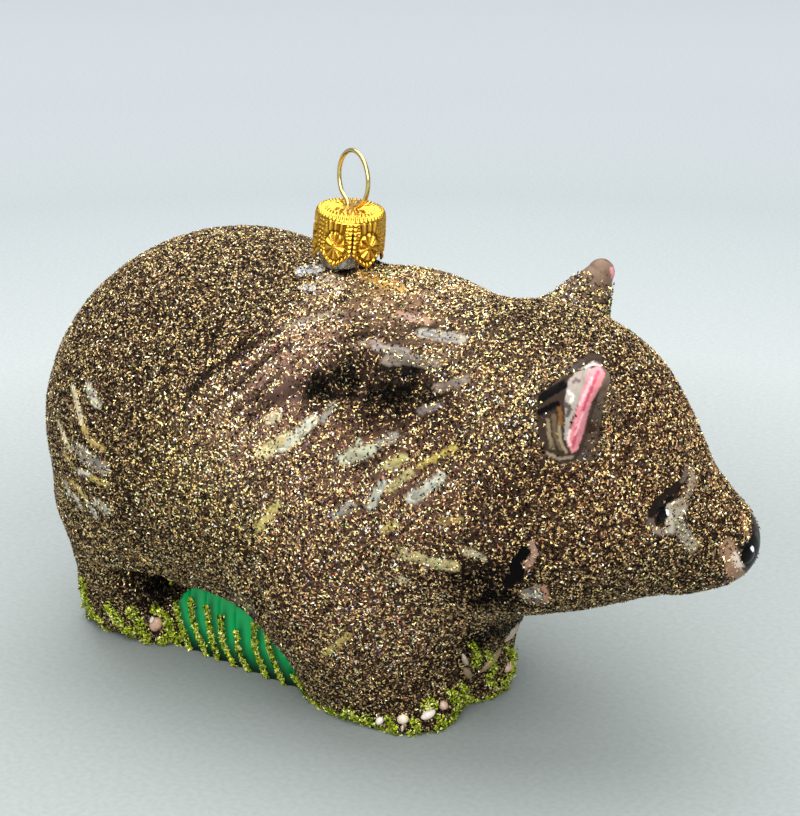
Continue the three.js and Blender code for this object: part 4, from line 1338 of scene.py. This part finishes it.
def zone_of(roots):
    """Which coat piece a root belongs to: the head's two halves, the legs of either end, or a slice of the
    trunk."""
    head = to_head(roots)
    zone = np.digitize(roots[:, 0], ZONE_CUTS)
    on_head_side = (head[:, 0] > -6) & (roots[:, 2] > 20)
    zone[on_head_side] = 5
    zone[on_head_side & (head[:, 0] > 12)] = 6
    low = (roots[:, 2] < 18) & ~on_head_side
    zone[low & (roots[:, 0] > -10)] = 7
    zone[low & (roots[:, 0] <= -10)] = 8
    return zone


def unwrap(roots, zone):
    """A place on an unwrap of the zone's own shape: the angle round its long axis and the way along it. A leg's
    axis stands upright, the head's runs to the nose, and the trunk's runs fore and aft."""
    if zone in (5, 6):
        local = to_head(roots) - (0, 0, -1)
        angle, along = np.arctan2(local[:, 1], local[:, 2]), local[:, 0]
    elif zone > 6:
        leg = FRONT_LEG if zone == 7 else HIND_LEG
        side = np.sign(roots[:, 1])
        angle = np.arctan2(roots[:, 1] - side * leg["foot"][1], roots[:, 0] - leg["foot"][0])
        angle = angle / 2 + side * np.pi / 2
        along = roots[:, 2]
    else:
        angle, along = np.arctan2(roots[:, 1], roots[:, 2] - 30), roots[:, 0]
    u = 0.01 + 0.98 * (angle + np.pi) / (2 * np.pi)
    v = 0.01 + 0.98 * (along - along.min()) / max(np.ptp(along), 1e-6)
    return np.stack([u, v], axis=-1)


# How wide a grain's place on the unwrap is
PATCH_UV = 0.003


def grain_uv(place):
    """Each grain's four corners round its root's place on the unwrap."""
    corner = np.array([(0, 1), (-0.87, -0.5), (0.87, -0.5), (0, 0)]) * PATCH_UV / 2
    return (place[:, None, :] + corner[None]).reshape(-1, 2)


def pick_tones(tones, count, random):
    """One of the given colours for each of a number of grains, by their shares."""
    hexes, shares = zip(*tones)
    palette = np.array([linear(h, alpha=False) for h in hexes])
    return palette[random.choice(len(hexes), count, p=np.array(shares) / sum(shares))]


class ORNAMENT_OT_glitter_coat(bpy.types.Operator):
    """The brown and gold glitter coat: separate grains all over the lacquer, bare where it is painted"""
    bl_idname = "ornament.glitter_coat"
    bl_label = "Glitter coat"

    def execute(self, context):
        sizes = context.scene.ornament_coat
        random = np.random.default_rng(SEED)
        points, quads, normals = shared["skin"], shared["quads"], shared["normal"]
        roots, facing = scatter(points, quads, normals, sizes.grains, random, only=points[:, 2] > 0.5)
        share = coat_share(roots, facing)
        for side in (-1, 1):
            root, axes = ear_axes(side)
            local = (roots - root) @ axes
            near_ear = np.linalg.norm(local - (0, 0, EAR_MIDDLE), axis=1) < EAR_REACH
            share[near_ear & (local[:, 2] > EAR_COAT_TOP + random.normal(0, 0.5, len(local)))] = 0
            share[near_ear & (np.abs(cup_field(roots, side)) < EAR_RIM)] *= EAR_RIM_SHARE
            roots[near_ear] += facing[near_ear] * EAR_LIFT
        share[to_head(roots)[:, 0] > NOSE_BARE_FROM] *= NOSE_SHARE
        keep = random.random(len(roots)) < share
        roots, facing, share = roots[keep], facing[keep], share[keep]
        roots = roots + facing * (THIN_LIFT * (1 - share))[:, None]
        # The grains take on the lacquer's colour, and with it the painted shade of the patches and the grooves.
        under = tone_of(roots, facing) / shared["lacquer"]
        tone = pick_tones(GRAIN_TONES, len(roots), random) * np.clip(under, 0.02, 6) ** TINT
        # Painted light on the grains: darker in the ribs' grooves, brighter on the ridges beside them.
        groove_shade_here = painted_groove_shade(roots)
        beside = painted_groove_shade(roots, RIDGE_WIDTH) - groove_shade_here
        tone *= (1 - GROOVE_PAINTED_SHADE * groove_shade_here + RIDGE_PAINTED_LIGHT * beside)[:, None]
        zone = zone_of(roots)
        material = glitter("cut_film_glitter", 0.55, 0.34)
        for number, name in enumerate(ZONES):
            own = zone == number
            shape, faces = grain_mesh(roots[own], facing[own], sizes.size / MM, sizes.lift / MM, random)
            make_piece(
                f"glitter_{name}", shape, faces, material, smooth=False,
                tone=np.repeat(np.minimum(tone[own], 1), 4, axis=0), bake_uv=grain_uv(unwrap(roots[own], number)),
            )
        return {"FINISHED"}


# Cream claws painted on the feet, as ovals of pixels. One that lies over another rises higher.
CLAW_SPOTS = [
    dict(at=(380, 720), radii=(4.2, 3.4), tilt=20, colour="#e9e0d6"),
    dict(at=(403, 719), radii=(6.2, 4.6), tilt=0, colour="#ddccb8"),
    dict(at=(403, 727), radii=(1.6, 3.2), tilt=0, colour="#cdb9a4", rise=0.85),
    dict(at=(428, 714), radii=(8.4, 4.0), tilt=-33, colour="#ded2c6"),
    dict(at=(443, 705), radii=(4.8, 3.6), tilt=-60, colour="#c9a795"),
    dict(at=(464, 659), radii=(5.4, 3.0), tilt=80, colour="#b9aa95"),
    dict(at=(467, 673), radii=(6.0, 3.8), tilt=80, colour="#8f7a5c"),
    dict(at=(156, 624), radii=(7.4, 6.2), tilt=-50, colour="#c9a48c"),
    dict(at=(152, 619), radii=(3.4, 2.2), tilt=-50, colour="#e6d6cc", rise=0.85),
    dict(at=(157, 626), radii=(3.2, 2.8), tilt=0, colour="#a57c60", rise=0.85),
]
CLAW_RISE = 0.75
CLAW_MARKS = [
    ([spot["at"], (spot["at"][0] + 0.5, spot["at"][1])], spot["radii"][1] - 0.5, spot["colour"], 0)
    for spot in CLAW_SPOTS
]
# Lime grains: how many are drawn for the feet, how wide they are and how high they lie
LIME_DRAWS = 125000
LIME_SIZE, LIME_LIFT = 0.44, 0.2
LIME_TONES = [("#1d2605", 0.2), ("#5f7a12", 0.2), ("#99ab1e", 0.25), ("#c4c83c", 0.22), ("#f0ee9c", 0.13)]
# Clumps of lime glitter on the feet: pixels along each one, its half width, its colour and its share
LIME = "#4b6412"
LIME_MARKS = [(line, width, LIME, 1.0) for line, width in [
    ([(84, 578), (87, 596), (94, 612), (103, 620)], 1.6),
    ([(110, 605), (116, 614), (124, 626), (132, 630)], 3.8),
    ([(131, 609), (138, 616), (144, 630), (147, 637)], 4.4),
    ([(155, 608), (163, 612), (168, 622), (171, 634), (162, 639)], 4.4),
    ([(176, 634), (184, 638), (188, 640)], 3.2),
    ([(328, 708), (338, 712), (348, 714)], 1.6),
    ([(348, 709), (355, 713), (361, 719), (369, 722)], 3.2),
    ([(367, 716), (372, 722), (384, 732), (393, 729)], 3.6),
    ([(389, 718), (393, 724), (397, 733)], 3.2),
    ([(412, 719), (417, 727), (411, 731)], 3.6),
    ([(424, 704), (430, 700), (433, 704)], 3.6),
    ([(438, 716), (442, 722), (436, 727)], 3.3),
    ([(449, 692), (455, 700), (458, 712), (452, 716)], 4.0),
    ([(459, 684), (463, 690), (464, 702)], 3.0),
    ([(472, 644), (476, 652), (474, 662)], 3.2),
    ([(487, 652), (492, 664), (486, 678), (494, 686)], 2.7),
    ([(506, 646), (511, 658), (509, 672), (500, 684)], 2.3),
    ([(468, 696), (480, 700), (494, 694)], 1.7),
    ([(160, 562), (166, 570), (172, 578)], 1.4),
]]


def lime_piece(name, roots, normals, random, material):
    """Lime glitter grains on the given roots, laid out on a plan of the piece seen from above and its
    height."""
    shape, faces = grain_mesh(roots, normals, LIME_SIZE, LIME_LIFT, random)
    low, high = roots.min(0), roots.max(0)
    along = (roots[:, 0] - low[0]) / (high - low)[0]
    around = ((roots[:, 1] > 0) + (roots[:, 2] - low[2]) / (high - low)[2] * 0.98) / 2
    place = np.stack([along, around], axis=-1) * 0.98 + 0.01
    tone = np.repeat(pick_tones(LIME_TONES, len(roots), random), 4, axis=0)
    make_piece(name, shape, faces, material, smooth=False, tone=tone, bake_uv=grain_uv(place))


class ORNAMENT_OT_feet(bpy.types.Operator):
    """Painted cream claws, and the lime glitter where the feet meet the grass"""
    bl_idname = "ornament.feet"
    bl_label = "Feet"

    def execute(self, context):
        random = np.random.default_rng(SEED + 1)
        parts, tones = [], []
        for spot in CLAW_SPOTS:
            for mirror, order in ((same, 1), (mirror_on_body, -1)):
                rise = spot.get("rise", CLAW_RISE)
                shape, faces, tone = blob(spot, rise, mirror, sink=0.4, rings=10, sides=28)
                parts.append((shape, faces[:, ::order]))
                tones.append(tone)
        points, faces = joined(parts)
        make_piece(
            "painted_claws", points, faces, gloss_lacquer("claw_lacquer", 0.25), weld=True,
            tone=np.concatenate(tones),
        )
        skin, quads, normals = shared["skin"], shared["quads"], shared["normal"]
        low = (skin[:, 2] < 16) & (skin[:, 2] > 0.2)
        roots, facing = scatter(skin, quads, normals, LIME_DRAWS, random, only=low)
        share = np.zeros(len(roots))
        seen = ((VIEW_FROM - roots) * facing).sum(1) > 0
        seen |= ((VIEW_FROM - mirror_on_body(roots)) * mirror_on_body(facing)).sum(1) > 0
        clumps = lattice_noise(roots, (2.4, 2.4, 4.5), 14) + 0.4 * lattice_noise(roots, 1.0, 15)
        share[~seen & (roots[:, 2] < 9.5 * (clumps - 0.45))] = 1
        share[seen & (roots[:, 2] < 1.1 * clumps)] = 0.2
        for _, close, covered in seen_marks(roots, facing, LIME_MARKS, False, soft=2.2):
            share[close] = np.maximum(share[close], covered)
        for _, close, covered in seen_marks(roots, facing, CLAW_MARKS, False, soft=2.2):
            share[close] *= 1 - 0.9 * covered
        keep = random.random(len(roots)) < share
        roots = roots[keep] + facing[keep] * random.uniform(0, 0.5, (int(keep.sum()), 1))
        lime_piece(
            "lime_glitter_feet", roots, facing[keep], random, glitter("lime_film_glitter", 0.35, 0.3),
        )
        return {"FINISHED"}


# Lines of lime glitter along the blades of the grass, from the top of each one to its foot
BLADES = [
    ((175, 595), (180, 615), (187, 640)), ((192, 598), (195, 620), (203, 645)),
    ((208, 605), (212, 630), (217, 655)), ((222, 615), (224, 640), (232, 660)),
    ((238, 630), (240, 650), (247, 668)), ((256, 622), (256, 645), (265, 673)),
    ((268, 632), (273, 655), (282, 680)), ((294, 675), (298, 682), (304, 692)),
]
# How high over the table a blade's line ends, and the grains on each side of one: so many, and some for each
# millimetre of its height
BLADE_FOOT = 0.2
BLADE_GRAINS, BLADE_GRAINS_PER_MM = 60, 95


def blade_lines():
    """The blades' lines on the grass's side, as pairs of height and x: the pixels' rays where they meet the
    wall."""
    right, up, back = camera_axes()
    lines = []
    for blade in BLADES:
        pixel = np.array(blade, float)
        across, rise = (pixel - np.array(PHOTO_SIZE) / 2).T / FOCAL_PIXELS
        way = across[:, None] * right - rise[:, None] * up - back
        place = VIEW_FROM + way * ((-GRASS["side"] - VIEW_FROM[1]) / way[:, 1])[:, None]
        line = place[::-1][:, [2, 0]]
        slope = (line[1, 1] - line[0, 1]) / (line[1, 0] - line[0, 0])
        foot = (BLADE_FOOT, line[0, 1] + slope * (BLADE_FOOT - line[0, 0]))
        lines.append(np.concatenate([[foot], line[line[:, 0] > BLADE_FOOT + 0.05]]))
    return lines


def grass_wall(along, height, ripple, lines):
    """How far the grass's long wall stands out: it bulges a little at mid height, and swells along each blade's
    line as a bell curve of the distance along x."""
    bulge = 0.5 * np.sin(np.pi * np.clip(height / 13, 0, 1))
    swell = np.zeros(along.shape)
    for line in lines:
        swell = np.maximum(swell, np.exp(-((along - np.interp(height, line[:, 0], line[:, 1])) / 0.75) ** 2))
    return GRASS["side"] - 0.6 + bulge + ripple * (swell - 0.4)


# Steps along and up the grass's wall
GRASS_GRID = (240, 56)


class ORNAMENT_OT_grass(bpy.types.Operator):
    """The moulded grass between the legs, rippled like blades, with strokes of lime glitter"""
    bl_idname = "ornament.grass"
    bl_label = "Grass"

    def execute(self, context):
        sizes = context.scene.ornament_grass
        ripple = sizes.ripple / MM
        lines = blade_lines()
        first = lines[0]
        while first[:, 1].min() > GRASS["back"] - 1:
            first = first - (0, sizes.pitch / MM)
            lines.append(first)
        x = np.linspace(GRASS["back"] - 1.5, GRASS["front"] + 2.5, GRASS_GRID[0])
        z = np.linspace(0.0, GRASS["height"] + 1.6, GRASS_GRID[1])
        xs, zs = np.meshgrid(x, z, indexing="ij")
        wall = grass_wall(xs, zs, ripple, lines)
        right = np.stack([xs, -wall, zs], axis=-1)
        points, faces = slab(right, mirror_on_body(right))
        # Painted shade on the grass: darker towards the foot, and a dark band beside each blade's line.
        shade = np.clip(zs / 4.5 - 0.1, 0.03, 1)
        for line in lines:
            beside = xs - np.interp(zs, line[:, 0], line[:, 1]) - 0.55
            rise = np.clip((line[:, 0].max() + 2.4 - zs) / 2.4, 0, 1)
            shade = shade * (1 - 0.7 * np.exp(-(beside / 0.5) ** 2) * rise)
        shade = np.repeat(np.concatenate([shade.ravel(), shade.ravel()])[:, None], 3, axis=1)
        make_piece(
            "moulded_grass", points, faces, green_lacquer(tuple(sizes.green)), tone=shade,
            nodes=("grass_ground",),
        )
        random = np.random.default_rng(SEED + 2)
        roots, facing = [], []
        for line in lines:
            low, high = line[:, 0].min(), line[:, 0].max()
            count = int(BLADE_GRAINS_PER_MM * (high - low)) + BLADE_GRAINS
            height = random.uniform(max(low, BLADE_FOOT), high, count)
            at = np.interp(height, line[:, 0], line[:, 1]) + random.normal(0, 0.19, count)
            wall = grass_wall(at, height, ripple, lines) + random.uniform(0, 0.35, count)
            for side in (-1, 1):
                roots.append(np.stack([at, side * wall, height], axis=-1))
                facing.append(np.tile((0.0, side, 0.15), (count, 1)))
        lime_piece(
            "lime_glitter_grass", np.concatenate(roots), unit(np.concatenate(facing)), random,
            glitter("lime_film_glitter_on_grass", 0.35, 0.3),
        )
        return {"FINISHED"}


def petal_relief(across, height, half, foot):
    """The pattern pressed into a petal, from -1 to 1: a ten-rayed flower in the middle, a row of beads along
    its sides and its pointed foot, and a fan of ribs above. Across and height are in millimetres, half is the
    petal's half width, and foot is the height of its lower edge."""
    centre = 3.9
    x, y = across, (height - centre) * 0.82
    radius = np.hypot(x, y)
    ray = 2 * np.abs(np.cos(5 * np.arctan2(x, y))) ** 0.8 - 1
    rim = np.clip((1.75 - radius) / 0.2, 0, 1)
    flower = np.where(radius < 1.55, ray * np.clip(radius / 0.35, 0, 1), 0) * rim
    heart = np.exp(-(radius / 0.28) ** 2)
    ring = -0.9 * np.exp(-((radius - 1.8) / 0.14) ** 2)
    side, low = half - np.abs(across), height - foot
    edge = np.minimum(side, 0.85 * low)
    way = np.where(side <= 0.85 * low, height, 1.15 * np.abs(across))
    beads = np.exp(-((edge - 0.36) / 0.24) ** 2) * (0.35 + 0.65 * np.cos(2 * np.pi * way / 0.66))
    inner = np.exp(-((edge - 0.86) / 0.16) ** 2) * (0.2 + 0.5 * np.cos(2 * np.pi * way / 0.44))
    inner = inner * (radius > 1.75)
    fan = np.cos(2 * np.pi * across / (0.3 + 0.09 * height)) * (edge > 1.0)
    fan = fan * np.clip((height - 5.6) / 0.3, 0, 1)
    return np.clip(flower + heart + ring + 1.1 * beads + 0.8 * inner + 0.8 * fan, -1, 1)


# Steps across and up each petal, and steps round the cap's top
PETAL_GRID = (57, 71)
CROWN_SIDES = 240


def on_cap(local):
    """Cap coordinates to mould coordinates."""
    return np.array(CAP["at"]) + local @ CAP_TURN.T


class ORNAMENT_OT_cap(bpy.types.Operator):
    """The stamped cap with its six petals, and the silvered glass neck under it"""
    bl_idname = "ornament.cap"
    bl_label = "Cap and neck"

    def execute(self, context):
        sizes = context.scene.ornament_fittings
        depth = sizes.emboss / MM
        parts, tones = [], []
        height, radius, wall = CAP["height"], CAP["radius"], CAP["wall"]
        half = np.pi / CAP["petals"]
        for petal in range(CAP["petals"]):
            middle = math.radians(CAP["first_slit"] + (petal + 0.5) * 360 / CAP["petals"])
            s = np.linspace(-1, 1, PETAL_GRID[0])[:, None]
            t = np.linspace(0, 1, PETAL_GRID[1])[None, :]
            tip = 0.7 + 2.0 * np.abs(s) ** 1.25
            z = tip + (height - 0.25 - tip) * t
            gap = 0.015 + 0.1 * np.clip((6.4 - z) / 0.6, 0, 1)
            angle = s * (half - gap / radius)
            over = np.clip((z - (height - CAP["shoulder"])) / CAP["shoulder"], 0, 1)
            base = radius - 0.1 + 0.1 * np.sin(np.pi * z / height) - CAP["shoulder"] * 0.8 * over ** 2
            relief = petal_relief(angle * radius, z, half * radius, tip)
            out = base + depth * 0.5 * (relief - 0.5) * (1 - 0.6 * over)
            turned = middle + angle
            around = np.stack([np.cos(turned), np.sin(turned)], axis=-1)
            outer, inner = (
                np.concatenate([around * r[..., None], z[..., None]], axis=-1) for r in (out, base - wall)
            )
            shape, faces = slab(outer, inner)
            parts.append((on_cap(shape), faces))
            # Painted light: brighter on the raised work and darker in the pressed lines, and a flat painted shade
            # on the inner faces.
            bright = np.clip(0.62 + 0.5 * relief, 0, 1)
            tones.append(np.concatenate([bright.ravel(), np.full(relief.size, 0.4)]))
        crown, faces = self.crown(depth)
        parts.append((on_cap(crown), faces))
        beads = np.cos(2 * np.pi * np.arange(len(crown)) / 7)
        tones.append(np.clip(0.7 + 0.3 * beads, 0, 1))
        points, faces = joined(parts)
        make_piece(
            "stamped_cap", points, faces, stamped_metal(tuple(sizes.gold)), nodes=("cap",),
            tone=np.repeat(np.concatenate(tones)[:, None], 3, axis=1), weld=True,
        )
        neck_top = height - CAP["wall"] - 0.6
        profile = [
            (0.001, -NECK["sink"]), (NECK["radius"] * 0.9, -NECK["sink"]), (NECK["radius"], -0.9),
            (NECK["radius"], 0.2), (NECK["radius"] - 0.1, neck_top * 0.6), (NECK["radius"], neck_top - 0.4),
            (NECK["radius"] - 0.3, neck_top), (NECK["bore"] + 0.3, neck_top), (NECK["bore"], neck_top - 0.3),
            (NECK["bore"], neck_top - NECK["bore_depth"]), (0.001, neck_top - NECK["bore_depth"]),
        ]
        shape, faces = lathe(profile, 72)
        make_piece(
            "glass_neck_tube", on_cap(shape), faces, silvered_glass(), nodes=("glass_neck",),
            weld=True,
        )
        return {"FINISHED"}

    def crown(self, depth):
        """The cap's top: a shallow dome over the rounded shoulder, with a beaded rim, as a closed shell."""
        top, edge, wall = CAP["height"], CAP["radius"] - CAP["shoulder"], CAP["wall"]
        r = np.concatenate([np.linspace(0.001, edge, 30), np.linspace(edge + 0.1, CAP["radius"] - 0.1, 12)])
        drop = np.clip((r - edge) / CAP["shoulder"], 0, 1)
        z = top + 0.2 * (1 - (r / CAP["radius"]) ** 2) - 1.1 * (1 - np.sqrt(1 - drop ** 2 * 0.96))
        angle = np.linspace(0, 2 * np.pi, CROWN_SIDES, endpoint=False)
        beads = depth * 0.55 * np.cos(42 * angle)[None, :] * np.exp(-((r - edge + 0.15) / 0.28) ** 2)[:, None]
        beads += depth * 0.5 * np.cos(48 * angle)[None, :] * np.exp(-((r - edge - 0.65) / 0.24) ** 2)[:, None]
        rays = depth * 0.55 * np.cos(16 * angle)[None, :] * np.exp(-((r - 2.5) / 0.75) ** 2)[:, None]
        upper = z[:, None] + beads + rays
        lower = np.repeat(z[:, None] - wall, CROWN_SIDES, axis=1)
        outer, inner = (
            np.stack([r[:, None] * np.cos(angle), r[:, None] * np.sin(angle), rise], axis=-1)
            for rise in (upper, lower)
        )
        points = np.concatenate([outer[::-1].reshape(-1, 3), inner.reshape(-1, 3)])
        return points, grid_faces(2 * len(r), CROWN_SIDES, wrap=True)[:, ::-1]


class ORNAMENT_OT_hanging_loop(bpy.types.Operator):
    """The wire: up through the cap, round the ring, and down again to splayed legs"""
    bl_idname = "ornament.hanging_loop"
    bl_label = "Hanging loop"

    def execute(self, context):
        sizes = context.scene.ornament_fittings
        sweep = np.radians(np.linspace(-90 + LOOP["opening"], 270 - LOOP["opening"], 120))
        ring = np.stack([LOOP["radius"] * np.cos(sweep), LOOP["rise"] + LOOP["radius"] * np.sin(sweep)], axis=-1)
        leg = [(LOOP["feet"] * 1.5, -LOOP["legs"]), (LOOP["feet"], -0.5), (LOOP["feet"], 0.5)]
        knots = np.array(leg + ring[::6].tolist() + [(-x, z) for x, z in leg[::-1]])
        path = smooth_path(knots, 260)
        local = np.stack([path[:, 0], np.zeros(len(path)), path[:, 1] + CAP["height"]], axis=-1)
        shape, faces = tube(local, sizes.wire / MM / 2)
        points = np.array(CAP["at"]) + shape @ (CAP_TURN @ turn(yaw=LOOP["turn"])).T
        make_piece(
            "wire_loop", points, faces, drawn_wire(tuple(sizes.brass)),
            nodes=("hanging_loop",), weld=True,
        )
        return {"FINISHED"}


def smooth_path(knots, count):
    """A smooth curve through knots, read at even steps: on each span the cubic whose slope at a knot is half the
    way from the knot before it to the one after it."""
    padded = np.concatenate([[2 * knots[0] - knots[1]], knots, [2 * knots[-1] - knots[-2]]])
    at = np.linspace(0, len(knots) - 1 - 1e-9, count)
    k = at.astype(int)
    t = (at - k)[:, None]
    a, b, c, d = (padded[k + n] for n in range(4))
    return 0.5 * (2 * b + (c - a) * t + (2 * a - 5 * b + 4 * c - d) * t ** 2 + (3 * b - a - 3 * c + d) * t ** 3)


# The round floor, in millimetres: its radius, its drop below the soles, its rings and spokes, how far from the
# ornament the cloth's painted light changes, and the spacing of its weave
FLOOR_RADIUS = 3000
FLOOR_BELOW = 0.02
FLOOR_RINGS, FLOOR_SPOKES = 60, 96
CLOTH_REACH = 900
WEAVE = 0.9
# The soft lights, in millimetres: name, place, side, watts and aim. Then the strength of the room's own light.
LIGHTS = [
    ("overhead_softbox", (-60, 70, 520), 620, 5.7, (0, 0, 30)),
    ("front_softbox", (230, -330, 330), 460, 4.1, (0, 0, 30)),
]
WORLD = 0.62


class ORNAMENT_OT_studio(bpy.types.Operator):
    """The pale cloth floor, soft lights and the camera"""
    bl_idname = "ornament.studio"
    bl_label = "Studio"

    def execute(self, context):
        scene = context.scene
        scene.view_settings.view_transform = "Standard"
        radius = FLOOR_RADIUS * np.linspace(0.0004, 1, FLOOR_RINGS)[:, None] ** 2
        angle = np.linspace(0, 2 * np.pi, FLOOR_SPOKES, endpoint=False)[None, :]
        x, y = radius * np.cos(angle) + MOULD_X, radius * np.sin(angle)
        points = np.stack([x, y, np.full(x.shape, -FLOOR_BELOW)], axis=-1).reshape(-1, 3)
        faces = grid_faces(FLOOR_RINGS, FLOOR_SPOKES, wrap=True)[:, ::-1]
        make_stage("cloth_floor", points, faces, cloth())
        for name, at, size, power, aim in LIGHTS:
            light(scene, name, at, size, power, aim)
        world = scene.world or bpy.data.worlds.new("soft_room")
        scene.world = world
        world.use_nodes = True
        world.node_tree.nodes["Background"].inputs["Color"].default_value = linear("#e6ecf2")
        world.node_tree.nodes["Background"].inputs["Strength"].default_value = WORLD
        camera_data = bpy.data.cameras.new("photo_camera")
        camera_data.sensor_fit = "HORIZONTAL"
        camera_data.sensor_width = SENSOR
        camera_data.lens = FOCAL_PIXELS / PHOTO_SIZE[0] * SENSOR
        camera_data.clip_start, camera_data.clip_end = 0.01, 10
        camera = bpy.data.objects.new("photo_camera", camera_data)
        scene.collection.objects.link(camera)
        camera.location = Vector(CAMERA_AT) * MM
        camera.rotation_euler = (Vector(CAMERA_AIM) - Vector(CAMERA_AT)).to_track_quat("-Z", "Y").to_euler()
        scene.camera = camera
        return {"FINISHED"}


def make_stage(name, points, faces, material):
    """A plain mesh for the stage, which rides on nothing."""
    mesh = bpy.data.meshes.new(name)
    mesh.from_pydata(((points - (MOULD_X, 0, 0)) * MM).tolist(), [], faces.tolist())
    mesh.polygons.foreach_set("use_smooth", np.full(len(mesh.polygons), True))
    mesh.materials.append(material)
    piece = bpy.data.objects.new(name, mesh)
    bpy.context.scene.collection.objects.link(piece)
    return piece


def cloth():
    """Pale grey cotton sheet: matt, with a weave of 0.9 mm drawn coarse enough to show. Its colour holds painted
    light: greyer near the ornament, as painted shade, and paler far off, where less light falls on it."""
    material, tree, shader = new_material("grey_cotton_sheet", Roughness=0.95, IOR=1.45, Specular_IOR_Level=0.2)
    place = add_node(tree, "ShaderNodeTexCoord").outputs["Object"]
    away = add_node(tree, "ShaderNodeVectorMath", {"operation": "LENGTH"}, {0: place})
    reach = add_node(
        tree, "ShaderNodeMapRange", links={"Value": away.outputs["Value"]},
        values={"From Max": CLOTH_REACH * MM},
    )
    # Painted light: the cloth's colour darkens near the ornament and pales far off.
    pale = add_node(tree, "ShaderNodeValToRGB", links={"Fac": reach.outputs["Result"]}, stops=[
        (0.0, "#898f8c"), (0.1, "#8b918f"), (0.19, "#a1a6a5"), (0.34, "#9fa5a6"), (0.5, "#b5babd"),
        (0.73, "#d8dde0"), (1.0, "#dfe2e5"),
    ])
    noise = add_node(tree, "ShaderNodeTexNoise", links={"Vector": place}, values={"Scale": 1 / (WEAVE * MM)})
    weave = add_node(
        tree, "ShaderNodeValToRGB", links={"Fac": noise.outputs["Fac"]},
        stops=[(0.3, "#f4f4f4"), (0.7, "#ffffff")],
    )
    shade = add_node(
        tree, "ShaderNodeMix", {"data_type": "RGBA", "blend_type": "MULTIPLY"},
        {"A": pale.outputs["Color"], "B": weave.outputs["Color"]}, {"Factor": 1.0},
    )
    tree.links.new(shade.outputs["Result"], shader.inputs["Base Color"])
    bump = add_node(
        tree, "ShaderNodeBump", links={"Height": noise.outputs["Fac"]},
        values={"Strength": 0.15, "Distance": 0.3 * MM},
    )
    tree.links.new(bump.outputs["Normal"], shader.inputs["Normal"])
    return material


def light(scene, name, at, size, power, aim):
    """A square area light, placed and sized in millimetres and aimed at a point."""
    data = bpy.data.lights.new(name, "AREA")
    data.size = size * MM
    data.energy = power
    lamp = bpy.data.objects.new(name, data)
    scene.collection.objects.link(lamp)
    lamp.location = Vector(at) * MM
    lamp.rotation_euler = (Vector(aim) - Vector(at)).to_track_quat("-Z", "Y").to_euler()


STEPS = [
    ORNAMENT_OT_studio, ORNAMENT_OT_blown_skin, ORNAMENT_OT_ears, ORNAMENT_OT_brush_strokes, ORNAMENT_OT_face,
    ORNAMENT_OT_feet, ORNAMENT_OT_grass, ORNAMENT_OT_cap, ORNAMENT_OT_hanging_loop, ORNAMENT_OT_glitter_coat,
]
SETTINGS = {
    "ornament_skin": SkinSettings, "ornament_coat": CoatSettings, "ornament_grass": GrassSettings,
    "ornament_fittings": FittingSettings,
}


class ORNAMENT_PT_panel(bpy.types.Panel):
    """Lists every size and colour, and a button for each step"""
    bl_idname = "ORNAMENT_PT_panel"
    bl_label = "Glass wombat ornament"
    bl_space_type = "VIEW_3D"
    bl_region_type = "UI"
    bl_category = "Ornament"

    def draw(self, context):
        for name, group in SETTINGS.items():
            box = self.layout.box()
            for key in group.__annotations__:
                box.prop(getattr(context.scene, name), key)
        for step in STEPS:
            self.layout.operator(step.bl_idname)


def register():
    """Registers the classes and gives the scene its settings."""
    for cls in (*SETTINGS.values(), *STEPS, ORNAMENT_PT_panel):
        bpy.utils.register_class(cls)
    for name, group in SETTINGS.items():
        setattr(bpy.types.Scene, name, PointerProperty(type=group))


def unregister():
    """Takes the settings and the classes away again."""
    for name in SETTINGS:
        delattr(bpy.types.Scene, name)
    for cls in reversed((*SETTINGS.values(), *STEPS, ORNAMENT_PT_panel)):
        bpy.utils.unregister_class(cls)


def main():
    register()
    for step in STEPS:
        group, name = step.bl_idname.split(".")
        getattr(getattr(bpy.ops, group), name)()


if __name__ == "__main__":
    main()
